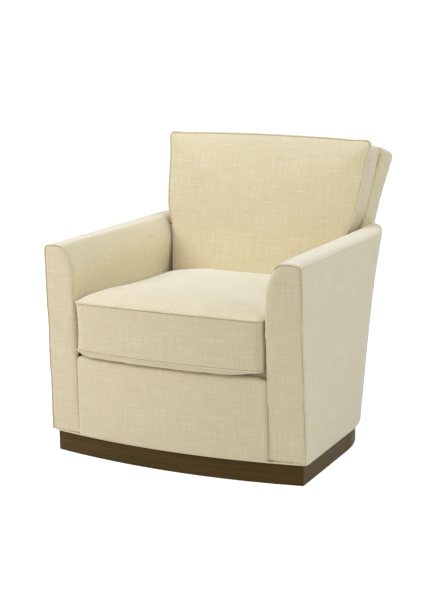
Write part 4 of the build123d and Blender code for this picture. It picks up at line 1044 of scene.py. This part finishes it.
cushion_nodes = ["seat_cushion_cover", "seat_cushion_foam"]
cushion = cover_blank("seat_cushion", cushion_nodes[:1], square=0.006)
for vertex in cushion.data.vertices:
    vertex.co = seat_side(sat_on(vertex.co))
cushion_low_seam = walk(cushion_edge(CUSHION_LOW_SEAM, CUSHION_LOW_REAR), True, SEAM_STEP)
cushion_low_seam = [seat_side(sat_on(spot)) for spot in cushion_low_seam]
cushion_top_seam = walk(cushion_edge(CUSHION_SEAM, CUSHION_TOP_REAR), True, SEAM_STEP)
cushion_top_seam = [seat_side(sat_on(spot)) for spot in cushion_top_seam]
cushion_seams = seam_points([cushion_low_seam, cushion_top_seam])
cushion_held = near_seams(cushion_seams, SEAM_HOLD)


def cushion_rest(point):
    flat_base = 1.0 - ramp(point.z, CUSHION_LOW + 0.001, CUSHION_LOW + 0.005)
    return max(cushion_held(point), flat_base * ramp(point.y, -0.410, -0.380))


soften(cushion, rounds=5, tacked=cushion_rest)
swell(cushion, cushion_rest, pressure=3.5, limit=SWELL_LIMIT)
sewn_out(cushion, cushion_seams, SEAM_PULL)
refine(cushion)
dress(cushion, linen, cushion_nodes, body="cushion")
welt(
    "cushion_top_welt", cushion_top_seam[::2], True, WELT_RADIUS,
    lies_on=[cushion], stands=0.0008, body="cushion", nodes=["seat_cushion_welts"],
)
welt(
    "cushion_low_welt", cushion_low_seam[::2], True, WELT_RADIUS,
    lies_on=[cushion], stands=0.0004, body="cushion", nodes=[], sides=(-1,),
)

# Zip: a tape with moulded teeth along the rear boxing of the cushion, and its slider.
# The tape and teeth are dyed to the cloth, and the slider is zinc-plated steel.
zip_dye = grained_finish(
    "straw_zip", "ShaderNodeTexWave", "Fac", scale=130.0,
    dark=(0.44, 0.37, 0.24), light=(0.66, 0.58, 0.41),
    roughness=0.55, relief=0.8, depth=0.0008,
)
coat(frame["nodes"]["cushion_zip"], zip_dye)
coat(frame["nodes"]["cushion_zip_slider"], zinc_plate)

# Studio: a wide white floor, a bright sky all round and three large soft lamps.
# The camera stands to the front and right of the chair, at a standing person's eye height.
FLOOR_SIZE = 120.0
bpy.ops.object.select_all(action="DESELECT")
bpy.ops.mesh.primitive_plane_add(size=FLOOR_SIZE, location=(0, 0, 0))
floor = bpy.context.object
floor.name = "studio_floor"
floor_white = bpy.data.materials.new("white_floor")
floor_white.use_nodes = True
floor_tree = floor_white.node_tree
floor_paint = floor_tree.nodes["Principled BSDF"]
floor_paint.inputs["Base Color"].default_value = (0.86, 0.86, 0.86, 1.0)
floor_paint.inputs["Roughness"].default_value = 0.9
floor_paint.inputs["Specular IOR Level"].default_value = 0.1


def seen_white(tree):
    """1 for what the camera sees straight, mirrored or through something clear, else 0."""
    path = tree.nodes.new("ShaderNodeLightPath")
    mirrored = tree.nodes.new("ShaderNodeMath")
    mirrored.operation = "MAXIMUM"
    tree.links.new(path.outputs["Is Camera Ray"], mirrored.inputs[0])
    tree.links.new(path.outputs["Is Glossy Ray"], mirrored.inputs[1])
    through = tree.nodes.new("ShaderNodeMath")
    through.operation = "MAXIMUM"
    tree.links.new(mirrored.outputs["Value"], through.inputs[0])
    tree.links.new(path.outputs["Is Transmission Ray"], through.inputs[1])
    return through.outputs["Value"]


floor_glow = floor_tree.nodes.new("ShaderNodeEmission")
floor_glow.inputs["Strength"].default_value = 0.74
floor_dark = floor_tree.nodes.new("ShaderNodeEmission")
floor_dark.inputs["Strength"].default_value = 0.0
floor_lift = floor_tree.nodes.new("ShaderNodeMixShader")
floor_sum = floor_tree.nodes.new("ShaderNodeAddShader")
floor_tree.links.new(seen_white(floor_tree), floor_lift.inputs["Fac"])
floor_tree.links.new(floor_dark.outputs["Emission"], floor_lift.inputs[1])
floor_tree.links.new(floor_glow.outputs["Emission"], floor_lift.inputs[2])
floor_tree.links.new(floor_paint.outputs["BSDF"], floor_sum.inputs[0])
floor_tree.links.new(floor_lift.outputs["Shader"], floor_sum.inputs[1])
floor_surface = floor_tree.nodes["Material Output"].inputs["Surface"]
floor_tree.links.new(floor_sum.outputs["Shader"], floor_surface)
floor.data.materials.append(floor_white)

sky = bpy.data.worlds.new("studio_sky")
bpy.context.scene.world = sky
sky.use_nodes = True
sky_tree = sky.node_tree
sky_light = sky_tree.nodes["Background"]
sky_light.inputs["Color"].default_value = (1.0, 0.995, 1.03, 1.0)
sky_light.inputs["Strength"].default_value = 0.34
sky_white = sky_tree.nodes.new("ShaderNodeBackground")
sky_white.inputs["Color"].default_value = (1.0, 1.0, 1.0, 1.0)
sky_white.inputs["Strength"].default_value = 1.0
sky_pick = sky_tree.nodes.new("ShaderNodeMixShader")
sky_tree.links.new(seen_white(sky_tree), sky_pick.inputs["Fac"])
sky_tree.links.new(sky_light.outputs["Background"], sky_pick.inputs[1])
sky_tree.links.new(sky_white.outputs["Background"], sky_pick.inputs[2])
sky_tree.links.new(sky_pick.outputs["Shader"], sky_tree.nodes["World Output"].inputs["Surface"])


def soft_lamp(name, place, aim, size, power, tint):
    """A large square lamp that looks at one point."""
    lamp = bpy.data.lights.new(name, "AREA")
    lamp.shape = "SQUARE"
    lamp.size = size
    lamp.energy = power
    lamp.color = tint
    stand = bpy.data.objects.new(name, lamp)
    bpy.context.scene.collection.objects.link(stand)
    stand.location = place
    stand.rotation_euler = (Vector(aim) - Vector(place)).to_track_quat("-Z", "Y").to_euler()


soft_lamp(
    "key_lamp", place=(-2.0, -1.9, 2.3), aim=(0, -0.2, 0.4), size=1.6, power=54.0,
    tint=(1.0, 0.995, 1.03),
)
soft_lamp(
    "top_lamp", place=(0.0, 0.4, 3.4), aim=(0, -0.1, 0.4), size=2.5, power=39.0,
    tint=(0.88, 0.97, 1.24),
)
soft_lamp(
    "side_lamp", place=(3.2, -0.2, 2.0), aim=(0, 0, 0.4), size=2.0, power=33.0,
    tint=(0.97, 1.0, 0.88),
)

CAMERA_TURN, CAMERA_PITCH, CAMERA_ROLL = 0.4689538675, 0.2370964101, -0.0196855830
CAMERA_DISTANCE, CAMERA_LEFT, CAMERA_DOWN = 4.5386356, 0.0475424, 0.0251104
CAMERA_LENS, CAMERA_SENSOR = 92.377, 36.0
CHAIR_MIDDLE = Vector((0, -0.013, 0.430))
view_back = Vector((
    math.sin(CAMERA_TURN) * math.cos(CAMERA_PITCH),
    -math.cos(CAMERA_TURN) * math.cos(CAMERA_PITCH),
    math.sin(CAMERA_PITCH),
))
view_right = Vector((math.cos(CAMERA_TURN), math.sin(CAMERA_TURN), 0))
view_up = view_back.cross(view_right)
rolled_right = view_right * math.cos(CAMERA_ROLL) + view_up * math.sin(CAMERA_ROLL)
rolled_up = view_up * math.cos(CAMERA_ROLL) - view_right * math.sin(CAMERA_ROLL)
view_target = CHAIR_MIDDLE - view_right * CAMERA_LEFT - view_up * CAMERA_DOWN
camera_place = view_target + view_back * CAMERA_DISTANCE
lens = bpy.data.cameras.new("photo_camera")
lens.lens = CAMERA_LENS
lens.sensor_width = CAMERA_SENSOR
camera = bpy.data.objects.new("photo_camera", lens)
bpy.context.scene.collection.objects.link(camera)
camera.matrix_world = Matrix((
    (rolled_right.x, rolled_up.x, view_back.x, camera_place.x),
    (rolled_right.y, rolled_up.y, view_back.y, camera_place.y),
    (rolled_right.z, rolled_up.z, view_back.z, camera_place.z),
    (0, 0, 0, 1),
))
bpy.context.scene.camera = camera
bpy.context.scene.view_settings.view_transform = "Standard"
